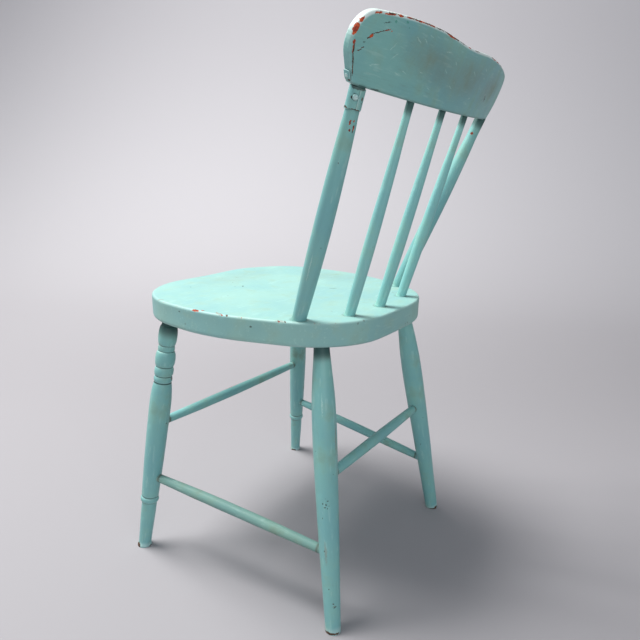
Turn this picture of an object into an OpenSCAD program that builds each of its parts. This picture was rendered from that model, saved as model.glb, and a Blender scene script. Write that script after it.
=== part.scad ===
// Plank-seat kitchen chair with turned legs, a three-spindle back and a bent crest rail.
// +Z is up, the sitter faces -Y and the sitter's left is +X. The floor is z = 0.
// Plan positions are measured back from the seat's front edge, then the whole chair is
// moved so that the origin is on the floor, in the middle of its bounding box.

/* [Seat plank] */
// Height of the seat's top face above the floor
seat_h = 440; // [366:1:528]
// Thickness of the plank
seat_t = 37.5; // [32:0.5:44]
// Depth from the front edge to the back edge
seat_d = 411; // [342:1:494]
// Width of the front edge between its corners, before they are rounded
seat_front_w = 372; // [340:1:400]
// Width between the side corners, before they are rounded
seat_side_w = 419; // [400:1:460]
// Width of the back edge between its corners, before they are rounded
seat_back_w = 277; // [250:1:330]
// Distance of the side corners behind the front edge
seat_side_y = 208; // [180:1:230]
// Radius of the front corners
seat_front_r = 136; // [60:1:145]
// Radius of the side corners
seat_side_r = 300; // [100:1:320]
// Radius of the back corners
seat_back_r = 133; // [60:1:140]
// Radius of the edge round the top face
seat_top_r = 4; // [2:0.5:9]
// Radius of the edge round the underside
seat_under_r = 6; // [2:0.5:14]

/* [Legs] */
// Distance of each front leg from the middle, at the seat's underside
front_leg_x = 172; // [140:0.5:176]
// Distance of the front legs behind the seat's front edge, at the seat's underside
front_leg_y = 93; // [70:0.5:130]
// How far each front foot stands out sideways from the top of its leg
front_splay = 45.5; // [0:0.5:60]
// How far the front feet stand forward of the tops of their legs
front_rake = 37; // [0:0.5:60]
// Distance of each back leg from the middle, at the seat's underside
back_leg_x = 128.5; // [100:0.5:132]
// Distance of the back legs in front of the seat's back edge, at the seat's underside
back_leg_y = 54.5; // [48:0.5:90]
// How far each back foot stands out sideways from the top of its leg
back_splay = 59; // [0:0.5:75]
// How far the back feet stand behind the tops of their legs
back_rake = 68; // [0:0.5:85]
// How far the old frame has racked: the left back foot is back by this, the right one forward
racked = 6; // [0:0.5:10]
// Diameter of every leg where it enters the seat
leg_tenon_d = 22; // [18:0.5:27]
// Depth of the leg sockets in the seat
leg_tenon_l = 22; // [12:0.5:24]
// Diameter of a front leg at its thickest
front_leg_d = 34.5; // [31:0.5:42]
// Diameter of a front leg just above its ankle ring
ankle_d = 28; // [25:0.5:31]
// Diameter of the ankle ring
ankle_ring_d = 30.5; // [28:0.5:36]
// Height of the middle of the ankle ring
ankle_ring_z = 91; // [70:1:105]
// Diameter of a front foot above its flare
front_foot_d = 20.5; // [18:0.5:24]
// Diameter of the flare at the floor
foot_flare_d = 23.5; // [20:0.5:28]
// Length of the turned bulbs and beads, from the seat's underside down
turning_l = 105; // [90:1:126]
// Diameter of the grooves between the beads
groove_d = 25.5; // [22:0.5:28]
// Diameter of the two beads below the bulbs
bead_d = 30.5; // [28:0.5:36]
// Diameter of the lower bulb
lower_bulb_d = 32; // [28:0.5:38]
// Diameter of the upper bulb
upper_bulb_d = 30; // [28:0.5:38]
// Diameter of a back leg at its thickest
back_leg_d = 35.5; // [31.5:0.5:43]
// Diameter of a back foot at the floor
back_foot_d = 22.5; // [18:0.5:26]

/* [Stretchers] */
// Height of the front stretcher on the front legs
front_stretcher_z = 226.5; // [190:0.5:260]
// Height of the back stretcher on the back legs
back_stretcher_z = 218; // [180:0.5:260]
// Height of the side stretchers on the front legs
side_stretcher_front_z = 131.5; // [125:0.5:160]
// Height of the side stretchers on the back legs
side_stretcher_back_z = 110.5; // [90:0.5:160]
// How much lower the right stretcher sits on its back leg
right_stretcher_drop = 6; // [0:0.5:12]
// Diameter of every stretcher in its sockets
stretcher_end_d = 13; // [10.5:0.5:16]
// Diameter of every stretcher at its middle
stretcher_d = 17; // [13:0.5:22]
// Distance from a leg's axis to the bottom of its stretcher sockets
socket_stop = 4; // [2:0.5:6]

/* [Back posts and spindles] */
// Distance of each post from the middle, at the seat's top
post_foot_x = 148.5; // [140:0.5:155]
// Distance of the posts in front of the seat's back edge, at the seat's top
post_setback = 80; // [70:0.5:95]
// Distance of each post from the middle along the crest rail
post_top_s = 198; // [170:0.5:206]
// Diameter of a post where it enters the seat
post_foot_d = 20.5; // [18:0.5:24]
// Diameter of a post at its thickest
post_d = 24; // [21:0.5:30]
// Diameter of a post under the crest rail
post_top_d = 17; // [14:0.5:20.5]
// Distance of the outer spindles from the middle, at the seat's top
spindle_foot_x = 82; // [60:0.5:100]
// Distance of the outer spindles along the crest rail from its middle
spindle_top_s = 92; // [70:0.5:120]
// Distance of the outer spindles in front of the seat's back edge
outer_spindle_setback = 38.5; // [30:0.5:60]
// Distance of the middle spindle in front of the seat's back edge
middle_spindle_setback = 33; // [24:0.5:60]
// Diameter of a spindle where it enters the seat
spindle_foot_d = 15.5; // [12:0.5:19]
// Diameter of a spindle at its thickest
spindle_d = 17; // [14:0.2:24]
// Diameter of a spindle under the crest rail
spindle_top_d = 10; // [8.5:0.5:12]
// Depth of the post and spindle sockets in the seat
stick_socket_l = 22; // [12:0.5:26]
// Diameter of the tenons on the posts and spindles that enter the crest rail
crest_tenon_d = 8; // [5:0.5:9]
// Depth of the sockets in the crest rail
crest_tenon_l = 20; // [10:0.5:30]

/* [Crest rail] */
// Height of the crest rail's lower edge above the seat, at the middle
crest_rise = 282.5; // [235:0.5:340]
// Distance of the crest rail's lower back edge behind the seat, at the middle
crest_setback = 52; // [40:0.5:70]
// Backward lean of the crest rail
crest_lean = 21.5; // [14:0.5:26]
// Radius that the crest rail's back face is bent to
crest_bend_r = 1108; // [800:1:1600]
// Thickness of the crest rail
crest_t = 13; // [11:0.5:20]
// Height of the crest rail at its highest
crest_h = 84.5; // [70:0.5:120]
// Dip of the top edge at the middle
crest_dip = 3; // [0:0.5:8]
// Distance of the highest points of the top edge from the middle
crest_hump_s = 85; // [50:1:120]
// Fall of the top edge from its highest points to the corners
crest_fall = 19.5; // [4:0.5:26]
// Half width of the crest rail along its lower edge
crest_foot_s = 214; // [212:0.5:240]
// How far the ends slope outwards from the lower edge to the top corners
crest_flare = 44; // [20:0.5:60]
// Radius of the top corners
crest_corner_r = 32; // [20:0.5:38]
// Radius of the bottom corners
crest_foot_r = 5; // [4.5:0.5:10]
// Radius of the edges round the top and the ends
crest_edge_r = 4; // [1:0.25:4.5]
// Radius of the lower edges
crest_under_r = 1.5; // [0.5:0.25:1.75]

/* [Repairs] */
// Length of the sheet-metal sleeve round the top of the left post
sleeve_l = 24; // [20:0.5:28]
// Gap between the sleeve and the crest rail
sleeve_gap = 1; // [0.5:0.25:3]
// Thickness of the sleeve's metal
sleeve_wall = 1; // [0.6:0.1:1.6]
// Angle over which the sleeve's ends lap
sleeve_lap = 40; // [20:1:70]
// Direction of the sleeve's screw round the post
screw_turn = -34; // [-60:1:60]
// Distance of the screw below the crest rail
screw_drop = 10.5; // [8:0.5:14]
// Diameter of the sleeve's screw head
screw_head_d = 7; // [5:0.5:8]
// Height of the sleeve's screw head
screw_head_h = 2; // [1:0.25:3]
// Diameter of the sleeve's screw
screw_d = 3; // [2:0.25:3.5]
// Length of the sleeve's screw from under its head
screw_l = 12; // [6:0.5:13]
// Length of the plate on the crest rail's left end
plate_l = 11; // [8:0.5:16]
// Width of the plate
plate_w = 9.5; // [6:0.5:11]
// Thickness of the plate
plate_t = 1.6; // [1:0.1:2.5]
// Height of the middle of the plate above the crest rail's lower edge
plate_h = 7.5; // [6:0.5:16]
// Diameter of the plate's screw
plate_screw_d = 2.4; // [1.5:0.1:3]
// Length of the plate's screw from under its head
plate_screw_l = 12; // [6:0.5:16]
// Diameter of the plate's screw head
plate_head_d = 5; // [3.5:0.5:6]
// Height of the plate's screw head
plate_head_h = 1.4; // [0.8:0.1:2]

/* [Hidden] */

PAINT = [0.43, 0.68, 0.66];
PAINT_LIGHT = [0.62, 0.85, 0.81];
PAINT_SHADE = [0.37, 0.58, 0.57];
TURN_FN = 72;
HOLE_FN = 48;
// Turns the seam of every round solid away from the side it leans to.
SEAM_TURN = 25;
// How far the legs' blanks run below the floor before they are cut off flush.
FOOT_OVER = 5;
// How far below the seat a leg is down to its tenon, so that a leaning one clears it.
SHOULDER = 5;
// Where the beads and bulbs of a front leg end, as shares of the turned length.
TURNING_ENDS = [0.11, 0.26, 0.51, 0.6, 0.91];
// Half the height of the ring round a front leg's ankle.
RING_HALF = 5;
// How quickly a stretcher swells from its ends.
SWELL_POWER = 0.75;
// Where the sleeve's lap starts, in degrees round from its screw.
LAP_START = 60;
// The clearance that keeps the flat plate off the rail's curved end.
PLATE_GAP = 0.05;
// The share of a side that the rounded corners at its ends may take up.
CORNER_ROOM = 0.98;
CORNER_STEPS = 11;
// How far the top corners reach along the top edge, in radii
CORNER_REACH = 1.6;
EDGE_STEPS = 5;
CREST_COLUMNS = 40;
LEFT = 1;
RIGHT = -1;

// The bending frame of the crest rail: its lower back edge at the middle.
crest_y = seat_d + crest_setback;
crest_z = seat_h + crest_rise;
chair_back_y = crest_y + (crest_h - crest_dip - crest_edge_r) * sin(crest_lean)
    + crest_edge_r * (1 - cos(crest_lean));

// Ends of each leg's axis: on the floor, and at the seat's underside.
under_z = seat_h - seat_t;
function leg_top(side, front) = front
    ? [side * front_leg_x, front_leg_y, under_z]
    : [side * back_leg_x, seat_d - back_leg_y, under_z];
function leg_foot(side, front) = front
    ? [side * (front_leg_x + front_splay), front_leg_y - front_rake, 0]
    : [side * (back_leg_x + back_splay), seat_d - back_leg_y + back_rake + side * racked, 0];
function on_leg(side, front, z) =
    leg_foot(side, front) + (leg_top(side, front) - leg_foot(side, front)) * z / under_z;

// Height of a side stretcher on its front leg or its back leg.
function side_z(side, front) = front ? side_stretcher_front_z
    : side_stretcher_back_z - (side == RIGHT ? right_stretcher_drop : 0);

// A point of the crest rail, from the distance s along it, the height h above its lower
// edge and the depth below its back face.
function crest_point(s, h, depth) =
    let (turn = s / crest_bend_r * 180 / PI,
        sag = crest_bend_r - (crest_bend_r - depth) * cos(turn))
    [(crest_bend_r - depth) * sin(turn),
        crest_y - sag * cos(crest_lean) + h * sin(crest_lean),
        crest_z + sag * sin(crest_lean) + h * cos(crest_lean)];

function post_foot(side) = [side * post_foot_x, seat_d - post_setback, seat_h];
function post_top(side) = crest_point(side * post_top_s, 0, crest_t / 2);
function spindle_foot(place) = [place * spindle_foot_x,
    seat_d - (place == 0 ? middle_spindle_setback : outer_spindle_setback), seat_h];
function spindle_top(place) = crest_point(place * spindle_top_s, 0, crest_t / 2);

// ---- Shapes ----

function unit(v) = v / norm(v);
function edge_normal(p, q) = unit([q[1] - p[1], p[0] - q[0]]);

// Points of a rounded corner at v, between p and q of a counterclockwise outline, on the
// arc of radius r drawn in by inset.
function corner_arc(p, v, q, r, inset = 0, steps = CORNER_STEPS) =
    let (n0 = edge_normal(p, v),
        n1 = edge_normal(v, q),
        centre = v - r * (n0 + n1) / (1 + n0 * n1),
        start = atan2(n0[1], n0[0]),
        turn = acos(n0 * n1))
    [for (i = [0:steps]) centre + (r - inset) * [cos(start + turn * i / steps),
        sin(start + turn * i / steps)]];

// The radii of an outline's corners, drawn in together where two would overlap.
function fitted_radii(corners, radii) =
    let (n = len(corners),
        reach = [for (i = [0:n - 1])
            let (n0 = edge_normal(corners[(i + n - 1) % n], corners[i]),
                n1 = edge_normal(corners[i], corners[(i + 1) % n]))
            radii[i] * tan(acos(n0 * n1) / 2)],
        room = [for (i = [0:n - 1]) CORNER_ROOM * norm(corners[(i + 1) % n] - corners[i])
            / (reach[i] + reach[(i + 1) % n])])
    [for (i = [0:n - 1]) radii[i] * min(1, room[i], room[(i + n - 1) % n])];

// A smooth curve through [height, diameter] stations, as [radius, height] points.
function spline(a, b, c, d, t) = 0.5 * (2 * b + (c - a) * t
    + (2 * a - 5 * b + 4 * c - d) * t * t + (3 * b - a - 3 * c + d) * t * t * t);
function shaft(stations, steps = 5) =
    let (last = len(stations) - 1)
    [for (i = [0:last - 1], k = [0:steps - 1])
        let (p = spline(stations[max(i - 1, 0)], stations[i], stations[i + 1],
            stations[min(i + 2, last)], k / steps))
        [p[1] / 2, p[0]],
        [stations[last][1] / 2, stations[last][0]]];

// A turned bead or bulb between two heights: half an ellipse standing on the groove.
function bead(z0, z1, edge_d, mid_d, steps = 10) =
    [for (i = [0:steps]) let (a = 180 * i / steps)
        [edge_d / 2 + (mid_d - edge_d) / 2 * sin(a), z0 + (z1 - z0) * (1 - cos(a)) / 2]];

// Places its children with their Z axis along the line from p to q, turned about it.
module along(p, q, turn = SEAM_TURN) {
    v = q - p;
    translate(p)
        rotate([0, acos(v[2] / norm(v)), atan2(v[1], v[0])])
            rotate([0, 0, turn])
                children();
}

// A solid turned from [radius, height] points. A point that repeats the one before it is
// left out.
module turned(points) {
    kept = [for (i = [0:len(points) - 1])
        if (i == 0 || norm(points[i] - points[i - 1]) > 0.01) points[i]];
    rotate_extrude($fn = TURN_FN)
        polygon(concat([[0, kept[0][1]]], kept, [[0, kept[len(kept) - 1][1]]]));
}

// A closed shell through rings of equal length, with flat ends.
module ringed_solid(rings) {
    n = len(rings[0]);
    last = len(rings) - 1;
    sides = [for (k = [0:last - 1], i = [0:n - 1])
        let (a = k * n + i, b = k * n + (i + 1) % n)
        each [[a, a + n, b + n], [a, b + n, b]]];
    polyhedron(
        points = [for (ring = rings) each ring],
        faces = concat([[for (i = [0:n - 1]) i]], sides,
            [[for (i = [n - 1:-1:0]) last * n + i]]));
}

// Everything above the plane of the crest rail's lower edge, less a gap.
module above_crest(gap = 0) {
    translate([0, crest_y, crest_z])
        rotate([-crest_lean, 0, 0])
            translate([-seat_side_w, -seat_d / 2, -gap])
                cube([2 * seat_side_w, seat_d, seat_h]);
}

// Moves the chair so that the middle of its depth is at y = 0.
module placed() {
    translate([0, -chair_back_y / 2, 0])
        children();
}

// ---- Seat ----

// The seat's outline, drawn in by inset: six rounded corners, counterclockwise.
function seat_outline(inset) =
    let (corners = [
            [-seat_front_w / 2, 0], [seat_front_w / 2, 0],
            [seat_side_w / 2, seat_side_y],
            [seat_back_w / 2, seat_d], [-seat_back_w / 2, seat_d],
            [-seat_side_w / 2, seat_side_y]],
        radii = fitted_radii(corners, [seat_front_r, seat_front_r, seat_side_r, seat_back_r,
            seat_back_r, seat_side_r]))
    [for (i = [0:5]) each corner_arc(corners[(i + 5) % 6], corners[i],
        corners[(i + 1) % 6], radii[i], inset)];

function seat_ring(z, inset) = [for (p = seat_outline(inset)) [p[0], p[1], z]];

module seat_plank() {
    under = [for (i = [0:EDGE_STEPS]) let (a = 90 * i / EDGE_STEPS)
        seat_ring(under_z + seat_under_r * (1 - cos(a)), seat_under_r * (1 - sin(a)))];
    top = [for (i = [EDGE_STEPS:-1:0]) let (a = 90 * i / EDGE_STEPS)
        seat_ring(seat_h - seat_top_r * (1 - cos(a)), seat_top_r * (1 - sin(a)))];
    ringed_solid(concat(under, top));
}

// A socket for a stick that stands on the seat's top face.
module stick_socket(foot, top, d) {
    along(foot, top)
        translate([0, 0, -stick_socket_l])
            cylinder(d = d, h = stick_socket_l + seat_t, $fn = HOLE_FN);
}

module leg_socket(side, front) {
    foot = leg_foot(side, front);
    top = leg_top(side, front);
    along(foot, top)
        translate([0, 0, norm(top - foot) - seat_t])
            cylinder(d = leg_tenon_d, h = seat_t + leg_tenon_l, $fn = HOLE_FN);
}

module seat() {
    color(PAINT_LIGHT)
        placed()
            difference() {
                seat_plank();
                for (side = [LEFT, RIGHT], front = [true, false]) leg_socket(side, front);
                for (side = [LEFT, RIGHT])
                    stick_socket(post_foot(side), post_top(side), post_foot_d);
                for (place = [-1:1])
                    stick_socket(spindle_foot(place), spindle_top(place), spindle_foot_d);
            }
}

// ---- Legs ----

// The turned outline of a front leg of length l: foot flare, ankle ring, shaft, two beads,
// a bulb, a thin bead and a second bulb under the neck.
function front_leg_outline(l) =
    let (start = l - turning_l,
        ends = start * [1, 1, 1, 1, 1] + turning_l * TURNING_ENDS,
        first = ends[0],
        second = ends[1],
        low_bulb = ends[2],
        thin = ends[3],
        neck = ends[4])
    concat(
        [[foot_flare_d / 2, -FOOT_OVER], [foot_flare_d / 2, FOOT_OVER / 2]],
        shaft([[7, front_foot_d], [30, front_foot_d + 1], [60, front_foot_d + 3.4],
            [ankle_ring_z - RING_HALF, ankle_d - 3.2]]),
        bead(ankle_ring_z - RING_HALF, ankle_ring_z + RING_HALF, ankle_d - 3, ankle_ring_d),
        shaft([[ankle_ring_z + RING_HALF + 1, ankle_d], [0.6 * start, front_leg_d - 2.3],
            [0.85 * start, front_leg_d], [start - 14, front_leg_d - 2.5],
            [start, groove_d + 2.5]]),
        bead(start + 1, first, groove_d, bead_d - 1),
        bead(first, second, groove_d, bead_d),
        bead(second, low_bulb, groove_d, lower_bulb_d),
        bead(low_bulb, thin, groove_d - 1, groove_d + 1),
        bead(thin, neck, groove_d - 1.5, upper_bulb_d),
        [[leg_tenon_d / 2, l - SHOULDER], [leg_tenon_d / 2, l + leg_tenon_l]]);

// The plain outline of a back leg of length l, thickest at seven tenths of its height.
function back_leg_outline(l) =
    concat(
        [[back_foot_d / 2, -FOOT_OVER]],
        shaft([[0, back_foot_d], [0.06 * l, back_foot_d + 1.2],
            [0.23 * l, back_leg_d - 8], [0.36 * l, back_leg_d - 4.8],
            [0.53 * l, back_leg_d - 2], [0.69 * l, back_leg_d], [0.8 * l, back_leg_d - 1.6],
            [0.87 * l, back_leg_d - 5], [0.93 * l, leg_tenon_d + 4.5],
            [l - 14, leg_tenon_d + 2], [l - SHOULDER, leg_tenon_d + 1]]),
        [[leg_tenon_d / 2, l - SHOULDER], [leg_tenon_d / 2, l + leg_tenon_l]]);

// A socket for a stretcher that runs from one leg's axis to another's.
module stretcher_socket(from, to) {
    along(from, to)
        translate([0, 0, socket_stop])
            cylinder(d = stretcher_end_d, h = 2 * back_leg_d, $fn = HOLE_FN);
}

module leg(side, front) {
    foot = leg_foot(side, front);
    top = leg_top(side, front);
    l = norm(top - foot);
    cross_z = front ? front_stretcher_z : back_stretcher_z;
    color(PAINT)
        placed()
            difference() {
                along(foot, top) turned(front ? front_leg_outline(l) : back_leg_outline(l));
                translate([foot[0] - seat_t, foot[1] - seat_t, -seat_t])
                    cube([2 * seat_t, 2 * seat_t, seat_t]);
                stretcher_socket(on_leg(side, front, cross_z), on_leg(-side, front, cross_z));
                stretcher_socket(on_leg(side, front, side_z(side, front)),
                    on_leg(side, !front, side_z(side, !front)));
            }
}

// ---- Stretchers ----

// A stretcher between two leg axes: parallel in its sockets and swelling to its middle.
module stretcher(from, to) {
    span = norm(to - from);
    grip = back_leg_d / 2;
    swell = stretcher_d - stretcher_end_d;
    swelling = [for (i = [0:12]) let (t = i / 12)
        [stretcher_end_d + swell * pow(sin(180 * t), SWELL_POWER),
            grip + (span - 2 * grip) * t]];
    color(PAINT)
        placed()
            along(from, to)
                turned(concat([[stretcher_end_d / 2, socket_stop]],
                    [for (p = swelling) [p[0] / 2, p[1]]],
                    [[stretcher_end_d / 2, span - socket_stop]]));
}

module cross_stretcher(front, z) {
    stretcher(on_leg(LEFT, front, z), on_leg(RIGHT, front, z));
}

module side_stretcher(side) {
    stretcher(on_leg(side, true, side_z(side, true)), on_leg(side, false, side_z(side, false)));
}

// ---- Back posts and spindles ----

// A stick from the seat to the crest rail: its foot in the seat's socket, its body cut
// off flush under the rail, and a thinner tenon in the rail's socket.
module stick(foot, top, foot_d, stations) {
    l = norm(top - foot);
    over = 2 * crest_t;
    along_axis = [for (s = stations) [s[0] * l, s[1]]];
    end_d = stations[len(stations) - 1][1];
    difference() {
        along(foot, top)
            turned(concat([[foot_d / 2, -stick_socket_l]], shaft(along_axis),
                [[end_d / 2, l + over]]));
        above_crest();
    }
    along(foot, top)
        translate([0, 0, l - crest_tenon_d])
            cylinder(d = crest_tenon_d, h = crest_tenon_d + crest_tenon_l, $fn = HOLE_FN);
}

module screw_axis() {
    along(post_foot(LEFT), post_top(LEFT), 0)
        translate([0, 0, norm(post_top(LEFT) - post_foot(LEFT)) - screw_drop])
            rotate([0, 90, screw_turn])
                translate([0, 0, post_top_d / 2 + sleeve_wall])
                    children();
}

module screw_hole(d) {
    screw_axis()
        translate([0, 0, -screw_l])
            cylinder(d = d, h = 2 * screw_l, $fn = HOLE_FN);
}

module post_blank(side) {
    bulge = post_d - post_foot_d;
    stick(post_foot(side), post_top(side), post_foot_d, [
        [0.02, post_foot_d], [0.13, post_foot_d + 0.5 * bulge], [0.3, post_d],
        [0.5, post_d], [0.64, post_d - 1.2], [0.77, post_top_d + 3.6],
        [0.86, post_top_d + 1.4], [0.9, post_top_d], [1, post_top_d]]);
}

module post_left() {
    color(PAINT)
        placed()
            difference() {
                post_blank(LEFT);
                screw_hole(screw_d);
            }
}

module post_right() {
    color(PAINT)
        placed()
            post_blank(RIGHT);
}

module spindle(place) {
    color(PAINT)
        placed()
            stick(spindle_foot(place), spindle_top(place), spindle_foot_d, [
                [0.02, spindle_foot_d], [0.14, spindle_d - 0.7], [0.32, spindle_d],
                [0.5, spindle_d - 1.2], [0.67, spindle_d - 3], [0.84, spindle_top_d + 1.2],
                [0.94, spindle_top_d + 0.2], [1, spindle_top_d]]);
}

// ---- Crest rail ----

crest_corner = [crest_foot_s + crest_flare, crest_h - crest_fall];

// Height of the top edge at s: a dip in the middle, then a fall towards the corners.
function crest_top(s) = s < crest_hump_s
    ? crest_h - crest_dip * (1 + cos(180 * s / crest_hump_s)) / 2
    : crest_h - crest_fall * pow((s - crest_hump_s) / (crest_corner[0] - crest_hump_s), 2);

// The right half of the outline from the lower edge to the top corner, as [s, height].
crest_foot = [crest_foot_s, 0];
crest_before_s = crest_corner[0] - CORNER_REACH * crest_corner_r;
crest_before = [crest_before_s, crest_top(crest_before_s)];
foot_arc = corner_arc([0, 0], crest_foot, crest_corner, crest_foot_r);
corner_points = corner_arc(crest_foot, crest_corner, crest_before, crest_corner_r);
crest_end_s = max([for (p = corner_points) p[0]]);
crest_lower = concat([[0, 0]], foot_arc,
    [for (i = [0:len(corner_points) - 1])
        if (i == 0 || corner_points[i - 1][0] < corner_points[i][0]) corner_points[i]]);
crest_upper = concat([for (s = [0:4:corner_points[CORNER_STEPS][0] - 1]) [s, crest_top(s)]],
    [for (i = [len(corner_points) - 1:-1:0])
        if (i == len(corner_points) - 1 || corner_points[i + 1][0] < corner_points[i][0])
            corner_points[i]]);

// One loop of [s, height] points: left to right below, then right to left above. Both
// runs share the same columns, which crowd together towards the ends.
function crest_column(j) = crest_end_s * sin(90 * j / CREST_COLUMNS);
crest_loop = concat(
    [for (j = [-CREST_COLUMNS:CREST_COLUMNS])
        [crest_column(j), lookup(abs(crest_column(j)), crest_lower)]],
    [for (j = [CREST_COLUMNS - 1:-1:1 - CREST_COLUMNS])
        [crest_column(j), lookup(abs(crest_column(j)), crest_upper)]]);
crest_count = len(crest_loop);

function loop_normal(i) = edge_normal(crest_loop[(i + crest_count - 1) % crest_count],
    crest_loop[(i + 1) % crest_count]);

// A ring of the rail: the loop drawn in and set below the back or the front face, as the
// rounding of its edge at angle a asks.
function crest_ring(a, from_back) =
    [for (i = [0:crest_count - 1])
        let (normal = loop_normal(i),
            r = crest_edge_r - (crest_edge_r - crest_under_r) * max(0, -normal[1]),
            p = crest_loop[i] - normal * r * (1 - sin(a)),
            depth = r * (1 - cos(a)))
        crest_point(p[0], p[1], from_back ? depth : crest_t - depth)];

module crest_board() {
    rings = concat([for (i = [0:EDGE_STEPS]) crest_ring(90 * i / EDGE_STEPS, true)],
        [for (i = [EDGE_STEPS:-1:0]) crest_ring(90 * i / EDGE_STEPS, false)]);
    n = crest_count;
    last = len(rings) - 1;
    sides = [for (k = [0:last - 1], i = [0:n - 1])
        let (a = k * n + i, b = k * n + (i + 1) % n)
        each [[a, a + n, b + n], [a, b + n, b]]];
    back = [for (j = [0:2 * CREST_COLUMNS - 1])
        let (a = j, b = j + 1, c = (n - j - 1) % n, d = (n - j) % n)
        each [[a, b, c], if (j > 0) [a, c, d]]];
    front = [for (f = back) [last * n + f[2], last * n + f[1], last * n + f[0]]];
    polyhedron(points = [for (ring = rings) each ring], faces = concat(sides, back, front));
}

module crest_socket(foot, top) {
    along(foot, top)
        translate([0, 0, norm(top - foot) - crest_t])
            cylinder(d = crest_tenon_d, h = crest_t + crest_tenon_l, $fn = HOLE_FN);
}

// Places its children on the rail's left end: Z is out of the end face, at height h.
module on_crest_end(h) {
    slope = atan2(crest_flare, crest_corner[1]);
    s = crest_foot_s + h * tan(slope);
    translate(crest_point(s, h, crest_t / 2))
        rotate([-crest_lean, 0, 0])
            rotate([0, 0, -s / crest_bend_r * 180 / PI])
                rotate([0, 90 + slope, 0])
                    children();
}

module plate_screw_hole() {
    on_crest_end(plate_h)
        translate([0, 0, plate_t - plate_screw_l])
            cylinder(d = plate_screw_d, h = plate_screw_l + plate_t, $fn = HOLE_FN);
}

module crest_rail() {
    color(PAINT_SHADE)
        placed()
            difference() {
                crest_board();
                for (side = [LEFT, RIGHT]) crest_socket(post_foot(side), post_top(side));
                for (place = [-1:1]) crest_socket(spindle_foot(place), spindle_top(place));
                plate_screw_hole();
            }
}

// ---- Repairs ----

// The sheet-metal sleeve: a ring round the post's top with a second layer where its ends
// lap, cut off just under the crest rail.
module post_sleeve() {
    inner = post_top_d / 2;
    over = 2 * crest_t;
    l = norm(post_top(LEFT) - post_foot(LEFT));
    color(PAINT)
        placed()
            difference() {
                along(post_foot(LEFT), post_top(LEFT), 0)
                    translate([0, 0, l - sleeve_l]) {
                        rotate_extrude($fn = TURN_FN)
                            translate([inner, 0])
                                square([sleeve_wall, sleeve_l + over]);
                        rotate([0, 0, screw_turn + LAP_START])
                            rotate_extrude(angle = sleeve_lap, $fn = TURN_FN)
                                translate([inner + sleeve_wall, 0])
                                    square([sleeve_wall, sleeve_l + over]);
                    }
                above_crest(sleeve_gap);
                screw_hole(screw_d);
            }
}

// A round screw head with its shank, standing on z = 0 with the shank below.
module round_screw(head_d, head_h, shank_d, shank_l) {
    dome = bead(-head_h, head_h, 0, head_d);
    rotate_extrude($fn = TURN_FN)
        polygon(concat([[0, 0]], [for (p = dome) if (p[1] > -0.01) p], [[0, head_h]]));
    translate([0, 0, -shank_l])
        cylinder(d = shank_d, h = shank_l, $fn = HOLE_FN);
}

module sleeve_screw() {
    color(PAINT_LIGHT)
        placed()
            screw_axis()
                round_screw(screw_head_d, screw_head_h, screw_d, screw_l);
}

module end_plate() {
    color(PAINT)
        placed()
            on_crest_end(plate_h)
                difference() {
                    translate([-plate_l / 2, -plate_w / 2, PLATE_GAP])
                        cube([plate_l, plate_w, plate_t - PLATE_GAP]);
                    translate([0, 0, -plate_t])
                        cylinder(d = plate_screw_d, h = 3 * plate_t, $fn = HOLE_FN);
                }
}

module end_plate_screw() {
    color(PAINT_LIGHT)
        placed()
            on_crest_end(plate_h)
                translate([0, 0, plate_t])
                    round_screw(plate_head_d, plate_head_h, plate_screw_d, plate_screw_l);
}

seat();
leg(LEFT, true);  // leg_front_left
leg(RIGHT, true);  // leg_front_right
leg(LEFT, false);  // leg_back_left
leg(RIGHT, false);  // leg_back_right
cross_stretcher(true, front_stretcher_z);  // stretcher_front
cross_stretcher(false, back_stretcher_z);  // stretcher_back
side_stretcher(LEFT);  // stretcher_left
side_stretcher(RIGHT);  // stretcher_right
post_left();
post_right();
spindle(1);  // spindle_left
spindle(0);  // spindle_middle
spindle(-1);  // spindle_right
crest_rail();
post_sleeve();
sleeve_screw();
end_plate();
end_plate_screw();
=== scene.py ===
"""An old plank-seat kitchen chair in chipped turquoise paint, dressed round its CAD frame."""

import logging
import math
from dataclasses import dataclass
from enum import Enum
from typing import Callable, Sequence

import bpy
import numpy as np
from mathutils import Matrix, Vector


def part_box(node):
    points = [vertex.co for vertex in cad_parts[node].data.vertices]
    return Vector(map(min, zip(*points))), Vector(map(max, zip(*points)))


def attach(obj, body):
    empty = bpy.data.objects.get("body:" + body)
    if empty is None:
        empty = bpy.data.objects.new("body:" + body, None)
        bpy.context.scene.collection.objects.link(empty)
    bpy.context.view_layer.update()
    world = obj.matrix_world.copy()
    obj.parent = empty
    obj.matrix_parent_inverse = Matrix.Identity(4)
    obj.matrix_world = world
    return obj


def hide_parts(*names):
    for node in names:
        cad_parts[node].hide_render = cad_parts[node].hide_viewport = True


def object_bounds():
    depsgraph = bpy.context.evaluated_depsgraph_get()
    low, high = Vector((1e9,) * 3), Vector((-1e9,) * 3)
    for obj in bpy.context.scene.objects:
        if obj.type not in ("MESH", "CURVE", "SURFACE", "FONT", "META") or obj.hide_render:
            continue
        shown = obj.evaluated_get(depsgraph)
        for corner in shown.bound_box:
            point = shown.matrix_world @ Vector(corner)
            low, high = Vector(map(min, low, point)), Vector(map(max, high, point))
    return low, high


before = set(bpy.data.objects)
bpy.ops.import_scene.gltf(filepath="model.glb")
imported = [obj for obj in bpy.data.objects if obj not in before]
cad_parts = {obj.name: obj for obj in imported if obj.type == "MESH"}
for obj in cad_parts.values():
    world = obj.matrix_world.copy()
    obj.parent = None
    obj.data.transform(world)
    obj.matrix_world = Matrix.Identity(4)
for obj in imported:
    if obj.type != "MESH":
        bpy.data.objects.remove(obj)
FRAME_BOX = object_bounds()

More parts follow.
